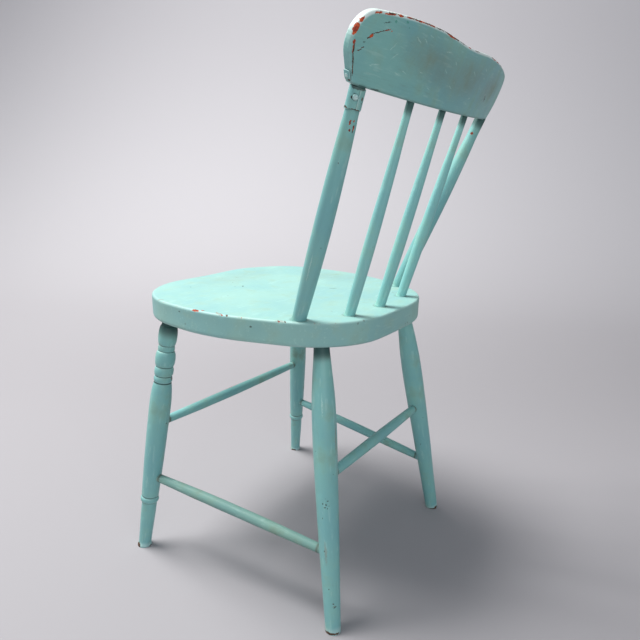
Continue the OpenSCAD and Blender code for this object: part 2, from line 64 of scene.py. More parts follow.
LOG = logging.getLogger("chair")
MM = 0.001
FACING = np.array([0.817, 0.577, 0.0])
HASH_AXES = np.array([73856093, 19349663, 83492791])
HASH_SEED, HASH_MIX, HASH_LEVELS = 2654435761, 1274126177, 65536
DENT_FALL = 3
Array = np.ndarray
Colour = tuple[float, float, float]
Spot = tuple[float, ...]


# ---- Sizes of the frame, in millimetres ----


@dataclass(frozen=True)
class Chair:
    """Where the chair's pieces run. y is measured back from the seat's front edge."""

    front_y: float
    under_z: float = 402.5
    seat_z: float = 440.0
    crest_y: float = 463.0
    crest_z: float = 722.5
    crest_lean: float = 21.5
    crest_bend: float = 1108.0
    crest_t: float = 13.0
    front_foot: tuple[float, float] = (217.5, 56.0)
    front_top: tuple[float, float] = (172.0, 93.0)
    back_foot: tuple[float, float] = (187.5, 424.5)
    back_top: tuple[float, float] = (128.5, 356.5)
    racked: float = 6.0
    post: Spot = (148.5, 331.0, 198.0)
    spindle: Spot = (82.0, 372.5, 92.0)
    middle_spindle_y: float = 378.0

    def leg(self, side: int, front: bool) -> tuple[Vector, Vector]:
        """The foot and the top of a leg's axis."""
        (foot_x, foot_y), (top_x, top_y) = (
            (self.front_foot, self.front_top) if front else (self.back_foot, self.back_top)
        )
        foot_y += 0.0 if front else self.racked * side
        return Vector((side * foot_x, foot_y, 0)), Vector((side * top_x, top_y, self.under_z))

    def on_leg(self, side: int, front: bool, z: float) -> Vector:
        """The point of a leg's axis at height z."""
        foot, top = self.leg(side, front)
        return foot.lerp(top, z / self.under_z)

    def sticks(self) -> dict[str, tuple[Vector, Vector]]:
        """The foot and the top of the axis of each post and spindle."""
        (post_x, post_y, post_s), (x, y, s) = self.post, self.spindle
        plan = {
            "post_left": (post_x, post_y, post_s),
            "post_right": (-post_x, post_y, -post_s),
            "spindle_left": (x, y, s),
            "spindle_middle": (0.0, self.middle_spindle_y, 0.0),
            "spindle_right": (-x, y, -s),
        }
        return {
            name: (Vector((x, y, self.seat_z)), Vector(self.crest(s, 0.0, self.crest_t / 2)))
            for name, (x, y, s) in plan.items()
        }

    def crest(self, s: Array, h: Array, depth: Array) -> Array:
        """Points of the bent crest rail.

        Args:
            s: distances along the rail from its middle.
            h: heights above its lower edge.
            depth: depths below its back face.

        Returns:
            An array of points, one row each.
        """
        turn, lean = np.asarray(s) / self.crest_bend, math.radians(self.crest_lean)
        sag = self.crest_bend - (self.crest_bend - depth) * np.cos(turn)
        x = (self.crest_bend - depth) * np.sin(turn)
        y = self.crest_y - sag * math.cos(lean) + h * math.sin(lean)
        z = self.crest_z + sag * math.sin(lean) + h * math.cos(lean)
        return np.stack([x, y, z], axis=-1)

    def below_crest(self, world: Array, inside: float) -> Array:
        """Points brought down to no more than inside past the plane of the rail's lower edge."""
        lean = math.radians(self.crest_lean)
        up = np.array([0.0, math.sin(lean), math.cos(lean)])
        over = (world - [0, self.crest_y, self.crest_z]) @ up
        return world - np.outer(np.clip(over - inside, 0, None), up)

    def placed(self, points: Array) -> Array:
        """Points in the frame's metres."""
        return (np.asarray(points, float) + [0, self.front_y, 0]) * MM


# ---- Small number tools ----


def noise(points: Array, scale: float, seed: int = 0) -> Array:
    """Smooth three-dimensional noise from -1 to 1.

    Args:
        points: rows of x, y and z.
        scale: the size of one swell, in the points' unit.
        seed: picks the pattern.

    Returns:
        One value a point.
    """
    q = points / scale
    base = np.floor(q).astype(np.int64)
    t = q - base
    t = t * t * (3 - 2 * t)
    total = np.zeros(len(points))
    for corner in range(8):
        bits = np.array([corner & 1, corner >> 1 & 1, corner >> 2 & 1])
        cell = base + bits
        key = cell @ HASH_AXES + seed * HASH_SEED
        key = (key ^ key >> 13) * HASH_MIX % 2**31
        value = ((key ^ key >> 11) % HASH_LEVELS) / (HASH_LEVELS / 2) - 1
        total += value * np.prod(np.where(bits, t, 1 - t), axis=1)
    return total


def smooth(value: Array, low: float, high: float) -> Array:
    """A soft step from 0 at low to 1 at high."""
    t = np.clip((value - low) / (high - low), 0, 1)
    return t * t * (3 - 2 * t)


def polar(r: Array, a: Array, h: Array) -> Array:
    """Points at radius r, angle a and height h."""
    return np.stack([r * np.cos(a), r * np.sin(a), h], axis=1)


def grid(*axes: Array) -> tuple[Array, ...]:
    """Every combination of the axes' values, the last axis running fastest."""
    return tuple(m.ravel() for m in np.meshgrid(*axes, indexing="ij"))


def spline(a: Array, b: Array, c: Array, d: Array, t: float) -> Array:
    """A Catmull-Rom point between b and c."""
    bend, twist = 2 * a - 5 * b + 4 * c - d, 3 * b - a - 3 * c + d
    return 0.5 * (2 * b + (c - a) * t + bend * t * t + twist * t**3)


def curve(stations: Sequence[tuple[float, float]], step: float) -> list[tuple[float, float]]:
    """A smooth curve through (height, diameter) stations.

    Args:
        stations: the points it passes through.
        step: the height between the points returned.

    Returns:
        (height, radius) points.
    """
    p, last, found = [np.array(s, float) for s in stations], len(stations) - 1, []
    for i in range(last):
        count = max(2, round((p[i + 1][0] - p[i][0]) / step))
        near = p[max(i - 1, 0)], p[i], p[i + 1], p[min(i + 2, last)]
        for k in range(count):
            h, diameter = spline(*near, k / count)
            found.append((h, diameter / 2))
    return found + [(stations[last][0], stations[last][1] / 2)]


def bead(z0: float, z1: float, edge_d: float, mid_d: float, steps: int = 12) -> list:
    """(height, radius) points of a turned bead: half an ellipse standing on a groove."""
    angles = [math.pi * i / steps for i in range(steps + 1)]
    return [
        (z0 + (z1 - z0) * (1 - math.cos(a)) / 2, edge_d / 2 + (mid_d - edge_d) / 2 * math.sin(a))
        for a in angles
    ]


def stick_axes(foot: Vector, top: Vector) -> Array:
    """Rows of a stick's own axes: x faces back and left, z runs along it."""
    z = np.array((top - foot).normalized())
    x = FACING - (FACING @ z) * z
    x = x / np.linalg.norm(x)
    return np.stack([x, np.cross(z, x), z])


def corner_arc(p: Array, v: Array, q: Array, r: float, steps: int) -> Array:
    """A rounded corner of a counterclockwise outline.

    Args:
        p: the corner before.
        v: the corner.
        q: the corner after.
        r: the radius.
        steps: how many spans the arc has.

    Returns:
        Rows of x, y, normal x and normal y.
    """
    n0, n1 = (
        np.array([b[1] - a[1], a[0] - b[0]]) / np.linalg.norm(b - a) for a, b in ((p, v), (v, q))
    )
    centre = v - r * (n0 + n1) / (1 + n0 @ n1)
    a = math.atan2(n0[1], n0[0]) + math.acos(n0 @ n1) * np.arange(steps + 1) / steps
    normal = np.stack([np.cos(a), np.sin(a)], axis=1)
    return np.hstack([centre + r * normal, normal])


# ---- Meshes ----


class Slot(Enum):
    """Names of material slots."""

    WOOD = "painted_wood"
    SHEET = "painted_sheet"
    SCREW = "painted_screw"


def make_piece(
    node: str, points: Array, faces: list, place: Array, exposed: Array, dirt_and_shade_mask: Array
) -> bpy.types.Object:
    """Makes a smooth mesh that keeps its own coordinates, its edge wear and painted highlight
    share, and its dirt and painted shade share as attributes.

    Args:
        node: the CAD node that it stands for.
        points: positions in metres.
        faces: vertex indices.
        place: the piece's own coordinates in millimetres, for its textures.
        exposed: 0 on a broad face to 1 on an edge that hands and feet reach; it sets where the
            paint wears through and where a painted highlight pales the edge.
        dirt_and_shade_mask: 0 in the open to 1 where the paint is darkened with dirt and with
            painted shade: hollows, joints and the tops that the seat and the rail shade.

    Returns:
        The new object.
    """
    lo, hi = FRAME_BOX
    mesh = bpy.data.meshes.new("worn_" + node)
    mesh.from_pydata(np.clip(points, np.array(lo), np.array(hi)).tolist(), [], faces)
    for key, kind, field, values in (
        ("place", "FLOAT_VECTOR", "vector", place.ravel() * MM),
        ("exposed", "FLOAT", "value", exposed),
        ("dirt_and_shade_mask", "FLOAT", "value", dirt_and_shade_mask),
    ):
        made = mesh.attributes.new(key, kind, "POINT")
        made.data.foreach_set(field, values.astype(np.float32))
    mesh.validate()
    mesh.polygons.foreach_set("use_smooth", [True] * len(mesh.polygons))
    mesh.update()
    return add_object("worn_" + node, mesh)


def add_object(name: str, data: bpy.types.ID) -> bpy.types.Object:
    """An object in the scene that shows this data."""
    made = bpy.data.objects.new(name, data)
    bpy.context.scene.collection.objects.link(made)
    return made


def present(piece: bpy.types.Object, slot: Slot) -> None:
    """Makes a dressed piece stand for its CAD node and ride with the chair."""
    node = piece.name.removeprefix("worn_")
    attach(piece, "root")
    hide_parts(node)
    LOG.info("%s: %d faces", piece.name, len(piece.data.polygons))


def ring_faces(rings: int, count: int, caps: bool = True) -> list:
    """Quads through rings of count points, with a fan to a last vertex at each end.

    Args:
        rings: how many rings there are.
        count: the points in each.
        caps: whether two centre vertices follow the rings.

    Returns:
        The faces.
    """
    faces = []
    for a in range(0, (rings - 1) * count, count):
        for i in range(count):
            j = (i + 1) % count
            faces.append((a + i, a + j, a + count + j, a + count + i))
    if caps:
        low, high, last = rings * count, rings * count + 1, (rings - 1) * count
        faces += [(low, (i + 1) % count, i) for i in range(count)]
        faces += [(high, last + i, last + (i + 1) % count) for i in range(count)]
    return faces


@dataclass(frozen=True)
class Dent:
    """A shallow hollow: where it is in the piece's own millimetres, how wide and how deep."""

    at: tuple[float, float, float]
    width: float
    depth: float


def hollows(dents: Sequence[Dent], place: Array) -> Array:
    """How far the dents pull each point in, in millimetres."""
    pull = np.zeros(len(place))
    for dent in dents:
        d = np.linalg.norm(place - np.array(dent.at), axis=1) / dent.width
        pull += dent.depth * np.exp(-d * d * DENT_FALL)
    return pull


# ---- Shader graph ----


class Val:
    """A shader value that Python's operators work on."""

    def __init__(self, graph: "Graph", socket: bpy.types.NodeSocket) -> None:
        """Wraps one output socket of a graph."""
        self.graph = graph
        self.socket = socket

    def _math(self, operation: str, *values: "Val | float") -> "Val":
        """A Math node on these values."""
        return self.graph.out("ShaderNodeMath", {"operation": operation}, dict(enumerate(values)))

    def __add__(self, other: "Val | float") -> "Val":
        """The sum."""
        return self._math("ADD", self, other)

    __radd__ = __add__

    def __mul__(self, other: "Val | float") -> "Val":
        """The product."""
        return self._math("MULTIPLY", self, other)

    __rmul__ = __mul__

    def __sub__(self, other: "Val | float") -> "Val":
        """The difference."""
        return self._math("SUBTRACT", self, other)

    def __rsub__(self, other: "Val | float") -> "Val":
        """The difference, the other way round."""
        return self._math("SUBTRACT", other, self)

    def most(self, other: "Val | float") -> "Val":
        """The larger of the two."""
        return self._math("MAXIMUM", self, other)

    def step(self, low: float, high: float) -> "Val":
        """A soft step from 0 at low to 1 at high."""
        values = {"Value": self, "From Min": low, "From Max": high}
        return self.graph.out("ShaderNodeMapRange", {"interpolation_type": "SMOOTHSTEP"}, values)


class Graph:
    """The node tree of one material."""

    def __init__(self, name: str) -> None:
        """Starts an empty material with an output."""
        self.material = bpy.data.materials.new(name)
        self.material.use_nodes = True
        self.tree = self.material.node_tree
        self.tree.nodes.clear()
        self.result = self.tree.nodes.new("ShaderNodeOutputMaterial")

    def node(self, kind: str, settings: dict, values: dict) -> bpy.types.Node:
        """Adds a node.

        Args:
            kind: the node's type.
            settings: its properties.
            values: numbers, colours or Vals for its input sockets.

        Returns:
            The node.
        """
        made = self.tree.nodes.new(kind)
        for key, value in settings.items():
            setattr(made, key, value)
        for key, value in values.items():
            if isinstance(value, Val):
                self.tree.links.new(value.socket, made.inputs[key])
            else:
                made.inputs[key].default_value = value
        return made

    def out(self, kind: str, settings: dict, values: dict, socket: int | str = 0) -> Val:
        """Adds a node and returns one of its outputs."""
        return Val(self, self.node(kind, settings, values).outputs[socket])

    def attribute(self, name: str, socket: str = "Fac") -> Val:
        """A mesh attribute."""
        return self.out("ShaderNodeAttribute", {"attribute_name": name}, {}, socket)

    def vector(self, operation: str, values: dict, socket: int | str = 0) -> Val:
        """A Vector Math node on these values."""
        return self.out("ShaderNodeVectorMath", {"operation": operation}, values, socket)

    def grain(self, place: Val, scale: float, detail: float = 3.0, rough: float = 0.55,
              socket: int = 0) -> Val:
        """Fractal noise about 0.5."""
        values = {"Vector": place, "Scale": scale, "Detail": detail, "Roughness": rough}
        return self.out("ShaderNodeTexNoise", {}, values, socket)

    def mix(self, share: "Val | float", low: "Val | Colour", high: "Val | Colour") -> Val:
        """A blend of two colours."""
        pair = [(*c, 1.0) if isinstance(c, tuple) else c for c in (low, high)]
        values = {0: share, 6: pair[0], 7: pair[1]}
        return self.out("ShaderNodeMix", {"data_type": "RGBA"}, values, 2)

    def finish(self, values: dict) -> bpy.types.Material:
        """Ends the material in a Principled shader with these values."""
        shader = self.node("ShaderNodeBsdfPrincipled", {}, values)
        self.tree.links.new(shader.outputs[0], self.result.inputs["Surface"])
        return self.material


def srgb(*display: int) -> Colour:
    """A colour from display values of 0 to 255."""
    shares = [c / 255 for c in display]
    return tuple(c / 12.92 if c <= 0.04045 else ((c + 0.055) / 1.055) ** 2.4 for c in shares)


# ---- The finish ----


class Wear(Enum):
    """What a mark on the paint is."""

    RED = "paint gone down to the orange-red coat"
    BARE = "paint gone down to dark wood"
    RUB = "paint rubbed thin, brown"
    GRIME = "brown-grey dirt on the paint"
    PALE = "a pale stroke or a run"
    # Dark marks also paint the rail's shadow on the sleeve's top.
    DARK = "a dark scuff or stain"
    FRESH = "a fleck of stronger turquoise"


RED, BARE, RUB, GRIME, PALE, DARK, FRESH = Wear


@dataclass(frozen=True)
class Mark:
    """One mark, in the piece's own millimetres."""

    kind: Wear
    at: Spot
    size: Spot
    turn: Spot = (0.0, 0.0, 0.0)

    def reach(self) -> float:
        """How far from its middle it can show."""
        return max(self.size) * 1.6 + 3.0


def on_round(kind: Wear, *spots: Spot) -> list[Mark]:
    """Marks of one kind on a turned piece.

    Args:
        kind: what they are.
        spots: for each, the height along the axis, the degrees round it from the side that
            faces back and left, the piece's radius there, half the mark's width, half its
            length and, for a slanting one, the degrees that it leans over.

    Returns:
        The marks.
    """
    marks = []
    for z, angle, r, across, along, *slant in spots:
        a, lean = math.radians(angle), math.radians(sum(slant))
        at = (r * math.cos(a), r * math.sin(a), z)
        marks.append(Mark(kind, at, (6.0, across, along), (lean, 0.0, a)))
    return marks


def on_back(kind: Wear, *spots: Spot) -> list[Mark]:
    """Marks of one kind on the crest rail's back face.

    Args:
        kind: what they are.
        spots: for each, the distance along the rail, the height up it, half the mark's
            length, half its height and, for a slanting one, its degrees.

    Returns:
        The marks.
    """
    return [
        Mark(kind, (s, 0.0, h), (along, 5.0, up), (0.0, math.radians(sum(slant)), 0.0))
        for s, h, along, up, *slant in spots
    ]


def on_plank(kind: Wear, *spots: Spot) -> list[Mark]:
    """Marks of one kind on the seat: x, y, z, three half sizes and, if turned, the degrees."""
    return [
        Mark(kind, spot[:3], spot[3:6], (0.0, 0.0, math.radians(sum(spot[6:])))) for spot in spots
    ]


@dataclass(frozen=True)
class Coat:
    """The turquoise of one piece, and the bluer and the greener one it drifts to."""

    main: Colour = srgb(129, 184, 178)
    blue: Colour = srgb(118, 174, 176)
    green: Colour = srgb(138, 188, 174)


SEAT_COAT = Coat(srgb(143, 187, 180), srgb(134, 181, 179), srgb(150, 189, 176))
DULL_COAT = Coat(srgb(123, 162, 151), srgb(114, 155, 150), srgb(130, 165, 147))
CLEAR_COAT = Coat(srgb(141, 197, 190), srgb(131, 189, 189), srgb(149, 200, 186))


class Skin:
    """The coordinates, noises and the shares of wear, painted highlight, dirt and painted shade
    that the layers of one material share.
    """

    def __init__(self, graph: Graph, grain_along: int) -> None:
        """Builds them in a graph, with brush strokes along one axis."""
        self.graph = graph
        self.place = place = graph.attribute("place", "Vector")
        self.exposed, self.dirt_and_shade_mask = graph.attribute("exposed"), graph.attribute("dirt_and_shade_mask")
        stretch = tuple(0.12 if i == grain_along else 1.0 for i in range(3))
        self.along = graph.vector("MULTIPLY", {0: place, 1: stretch})
        self.broad = graph.grain(place, 9.0)
        self.cloud = graph.grain(place, 34.0, 4.0)
        self.ragged = graph.grain(place, 260.0, 5.0, 0.65)
        self.fine = graph.grain(place, 1500.0, 2.0)
        self.strokes = graph.grain(self.along, 420.0)
        self.wide_strokes = graph.grain(self.along, 110.0, 2.0)
        swirl = graph.grain(place, 420.0, rough=0.5, socket=1)
        swirl = graph.vector("SUBTRACT", {0: swirl, 1: (0.5, 0.5, 0.5)})
        warp = graph.vector("SCALE", {0: swirl, "Scale": 3.2 * MM})
        self.bent = graph.vector("ADD", {0: place, 1: warp})

    def cover(self, marks: Sequence[Mark], kind: Wear, soft: float, rag: float) -> "Val | None":
        """How far the marks of one kind cover a point.

        Args:
            marks: all the piece's marks.
            kind: the kind wanted.
            soft: the width of their rims, as a share of a mark.
            rag: how ragged their rims are.

        Returns:
            The cover from 0 to 1, or None if there is no such mark.
        """
        found = None
        for mark in (m for m in marks if m.kind is kind):
            values = {
                "Vector": self.bent,
                "Location": tuple(c * MM for c in mark.at),
                "Rotation": mark.turn,
                "Scale": tuple(c * MM for c in mark.size),
            }
            inside = self.graph.out("ShaderNodeMapping", {"vector_type": "TEXTURE"}, values)
            depth = 1 - self.graph.vector("LENGTH", {0: inside}, "Value")
            found = depth if found is None else found.most(depth)
        return None if found is None else (found + (self.ragged - 0.5) * rag).step(0.0, soft)


@dataclass(frozen=True)
class OldPaint:
    """Turquoise paint over an orange-red coat over brown wood."""

    coat: Coat = Coat()
    red: Colour = srgb(196, 82, 44)
    maroon: Colour = srgb(112, 44, 34)
    wood: Colour = srgb(72, 54, 44)
    pale_wood: Colour = srgb(104, 78, 60)
    # Dirt colour; through the mask it also paints shade at the tops under the seat and the rail.
    dirt: Colour = srgb(112, 116, 102)
    pale: Colour = srgb(176, 214, 206)
    fresh: Colour = srgb(70, 150, 132)
    # Painted highlight: a pale colour for edges that the light catches.
    edge_highlight: Colour = srgb(222, 234, 230)
    shadow: Colour = srgb(38, 76, 74)
    smear: Colour = srgb(120, 124, 106)
    rubbed: Colour = srgb(134, 104, 80)
    scuff: Colour = srgb(58, 66, 60)
    speck: Colour = srgb(92, 88, 74)
    edge_highlight_share: float = 0.25
    edge_wear: float = 0.5
    grime_marks: float = 0.42
    bare_share: float = 0.35
    shade: float = 0.55
    grime_and_shade: float = 0.35
    specks: float = 0.5
    gloss: float = 0.42
    mottle: float = 1.0
    grain_along: int = 2

    def dress(
        self, piece: bpy.types.Object, marks: Sequence[Mark] = (), cuts: Sequence[float] = ()
    ) -> None:
        """Gives a piece this finish, in zones along its x axis that each hold few marks.

        Args:
            piece: the object.
            marks: its own chips, rubs and stains.
            cuts: where one zone ends and the next starts, in the piece's own millimetres.
        """
        bounds = [-math.inf, *cuts, math.inf]
        for low, high in zip(bounds, bounds[1:]):
            near = [m for m in marks if m.at[0] + m.reach() > low and m.at[0] - m.reach() < high]
            piece.data.materials.append(self.material(f"{piece.name}_paint", near))
        if cuts:
            place = np.zeros(len(piece.data.vertices) * 3, np.float32)
            piece.data.attributes["place"].data.foreach_get("vector", place)
            first = [p.vertices[0] for p in piece.data.polygons]
            zones = np.searchsorted(np.array(cuts), (place[::3] / MM)[first])
            piece.data.polygons.foreach_set("material_index", zones.tolist())

    def material(self, name: str, marks: Sequence[Mark]) -> bpy.types.Material:
        """The finish with these marks on it.

        Args:
            name: the material's name.
            marks: the chips, rubs and stains.

        Returns:
            The material.
        """
        skin = Skin(Graph(name), self.grain_along)
        # Dirt patches from noise, plus darkening from the mask, which at the tops under the seat
        # and the rail is painted shade.
        dirt = skin.cloud.step(0.5, 0.78) * 0.45 + skin.dirt_and_shade_mask.step(0.15, 1.0) * 0.9
        dirt = dirt * self.grime_and_shade
        colour = self.stained(skin, self.brushed(skin, dirt), marks)
        colour, gone = self.chipped(skin, colour, marks)
        height = (skin.strokes - 0.5) * 0.16 + (skin.wide_strokes - 0.5) * 0.22
        height = height + (skin.fine - 0.5) * 0.05 + (skin.cloud - 0.5) * 0.3 - gone * 0.5
        relief = {"Strength": 0.55, "Distance": 0.45 * MM, "Height": height}
        rough = self.gloss + (skin.cloud - 0.5) * 0.2 + (skin.strokes - 0.5) * 0.16 + dirt * 0.3
        return skin.graph.finish({
            "Base Color": colour,
            "Roughness": rough.most(gone * 0.8),
            "Normal": skin.graph.out("ShaderNodeBump", {}, relief),
            "Specular IOR Level": 0.42,
        })

    def brushed(self, skin: Skin, dirt: Val) -> Val:
        """The coat's colour, with its brush strokes, dirt, a painted highlight on its edges and
        painted shade in hollows, at joints and at tops under the seat and the rail.
        """
        mix, place = skin.graph.mix, skin.place
        colour = mix(skin.broad.step(0.36, 0.64), self.coat.blue, self.coat.main)
        colour = mix(skin.cloud.step(0.45, 0.72) * 0.6, colour, self.coat.green)
        tone = (skin.strokes - 0.5) * 0.22 + (skin.wide_strokes - 0.5) * 0.16
        tone = (tone + (skin.fine - 0.5) * 0.14) * self.mottle
        colour = mix(tone.step(0.02, 0.16) * 0.38, colour, self.pale)
        colour = mix((0.0 - tone).step(0.02, 0.16) * 0.3, colour, self.dirt)
        flicks = skin.graph.grain(skin.along, 240.0, 1.0).step(0.57, 0.68)
        flicks = flicks * skin.graph.grain(place, 46.0, 2.0).step(0.43, 0.58)
        colour = mix(flicks * 0.24, colour, self.pale)
        colour = mix(dirt, colour, self.dirt)
        # Painted highlight on the edges, strongest on the rail's upper edge.
        colour = mix(skin.exposed.step(0.1, 0.75) * self.edge_highlight_share, colour, self.edge_highlight)
        # Painted shade: the shadow colour darkens hollows, joints and the tops under the seat and
        # the rail.
        return mix(skin.dirt_and_shade_mask.step(0.3, 0.95) * self.shade, colour, self.shadow)

    def stained(self, skin: Skin, colour: Val, marks: Sequence[Mark]) -> Val:
        """The colour with its dirt marks, rubs, strokes, scuffs and specks."""
        graph = skin.graph
        for kind, tint, soft, rag, share in (
            (GRIME, self.smear, 0.9, 0.5, self.grime_marks),
            (RUB, self.rubbed, 0.7, 1.4, 0.4),
            (PALE, self.pale, 0.5, 1.0, 0.55),
            (FRESH, self.fresh, 0.4, 1.0, 0.75),
            (DARK, self.scuff, 0.4, 1.3, 0.8),
        ):
            cover = skin.cover(marks, kind, soft, rag)
            if cover is not None:
                if kind is GRIME:
                    cover = cover * (skin.cloud.step(0.3, 0.7) * 0.45 + 0.55)
                colour = graph.mix(cover * share, colour, tint)
        values = {"Vector": skin.bent, "Scale": 95.0}
        speck = graph.out("ShaderNodeTexVoronoi", {}, values, "Distance")
        gate = graph.grain(skin.place, 21.0, 2.0).step(0.6, 0.68)
        return graph.mix((0.17 - speck).step(0.0, 0.03) * gate * self.specks, colour, self.speck)

    def chipped(self, skin: Skin, colour: Val, marks: Sequence[Mark]) -> tuple[Val, Val]:
        """The colour with its chips, and where the paint is gone.

        Args:
            skin: what the layers share.
            colour: the stained paint.
            marks: the piece's marks.

        Returns:
            The colour, and 1 where there is no paint.
        """
        graph, limit = skin.graph, 1.62 - self.edge_wear
        worn = skin.exposed * 1.1 + (skin.cloud - 0.5) * 1.5 + (skin.ragged - 0.5) * 1.3
        gone = worn.step(limit, limit + 0.05)
        chips = skin.cover(marks, RED, 0.1, 0.9)
        gone = gone if chips is None else gone.most(chips)
        deep = (worn + (skin.broad - 0.5) * 1.2).step(limit + 0.2, limit + 0.3) * self.bare_share
        under = graph.mix(graph.grain(skin.place, 330.0).step(0.35, 0.62), self.red, self.maroon)
        wood = graph.mix(skin.strokes.step(0.4, 0.6), self.wood, self.pale_wood)
        colour = graph.mix(gone, colour, graph.mix(deep, under, wood))
        bare = skin.cover(marks, BARE, 0.12, 1.0)
        if bare is None:
            return colour, gone
        return graph.mix(bare, colour, wood), gone.most(bare)


# ---- Turned pieces ----


@dataclass
class Turning:
    """A turned stick from one point to another, with its own wobble, dents and flats."""

    node: str
    axis: tuple[Vector, Vector]
    outline: list
    chair: Chair
    seed: int
    wobble: float = 0.2
    bow: float = 0.5
    segments: int = 72
    dents: tuple[Dent, ...] = ()
    worn_foot: float = 0.0
    dark_top: float = 1.0
    shaded: float = 30.0
    joints: tuple[float, ...] = ()
    cut: Callable[[Array], Array] | None = None

    def build(self) -> bpy.types.Object:
        """Builds the piece and returns it."""
        foot, top = self.axis
        length, n = (top - foot).length, self.segments
        heights, radii = np.array(self.outline, float).T
        h, r = np.repeat(heights, n), np.repeat(radii, n)
        a = np.tile(np.arange(n) * math.tau / n, len(heights))
        place = polar(r, a, h)
        swell = noise(place, 46.0, self.seed) * 0.7 + noise(place, 15.0, self.seed + 7) * 0.3
        place = polar(r + swell * self.wobble - hollows(self.dents, place), a, h)
        lean = self.bow * np.sin(math.pi * np.clip(h / length, 0, 1))
        shown = place + polar(lean, np.full_like(h, self.seed * 1.7), np.zeros_like(h))
        ends = np.array([[0, 0, heights[0]], [0, 0, heights[-1]]])
        world = np.array(foot) + np.vstack([shown, ends]) @ stick_axes(foot, top)
        if self.cut is not None:
            world = self.cut(world)
        gentle, sharp, hollow_darkening, worn_h, joint_w = 0.02, 0.3, 0.8, 14.0, 5.0
        slope = np.gradient(np.gradient(radii, heights), heights)
        ridge, groove = (np.repeat(smooth(s * slope, gentle, sharp), n) for s in (-1, 1))
        low = smooth(-h, -worn_h, -1.0) * self.worn_foot
        # Painted shade at the top end, where the seat or the rail shades it.
        high = smooth(h, length - self.shaded, length - 2.0) * self.dark_top
        dirt_and_shade_mask = np.clip(groove * hollow_darkening + high, 0, 1)
        for at in self.joints:
            dirt_and_shade_mask = np.maximum(dirt_and_shade_mask, hollow_darkening * smooth(-np.abs(h - at), -joint_w, -1.0))
        return make_piece(
            self.node,
            self.chair.placed(world),
            ring_faces(len(heights), n),
            np.vstack([place, ends]),
            np.append(np.clip(0.35 * ridge + low, 0, 1), [0, 0]),
            np.append(dirt_and_shade_mask, [0, 0]),
        )

    def dress(self, paint: OldPaint, marks: Sequence[Mark]) -> None:
        """Builds and paints the piece."""
        piece = self.build()
        paint.dress(piece, marks)
        present(piece, Slot.WOOD)


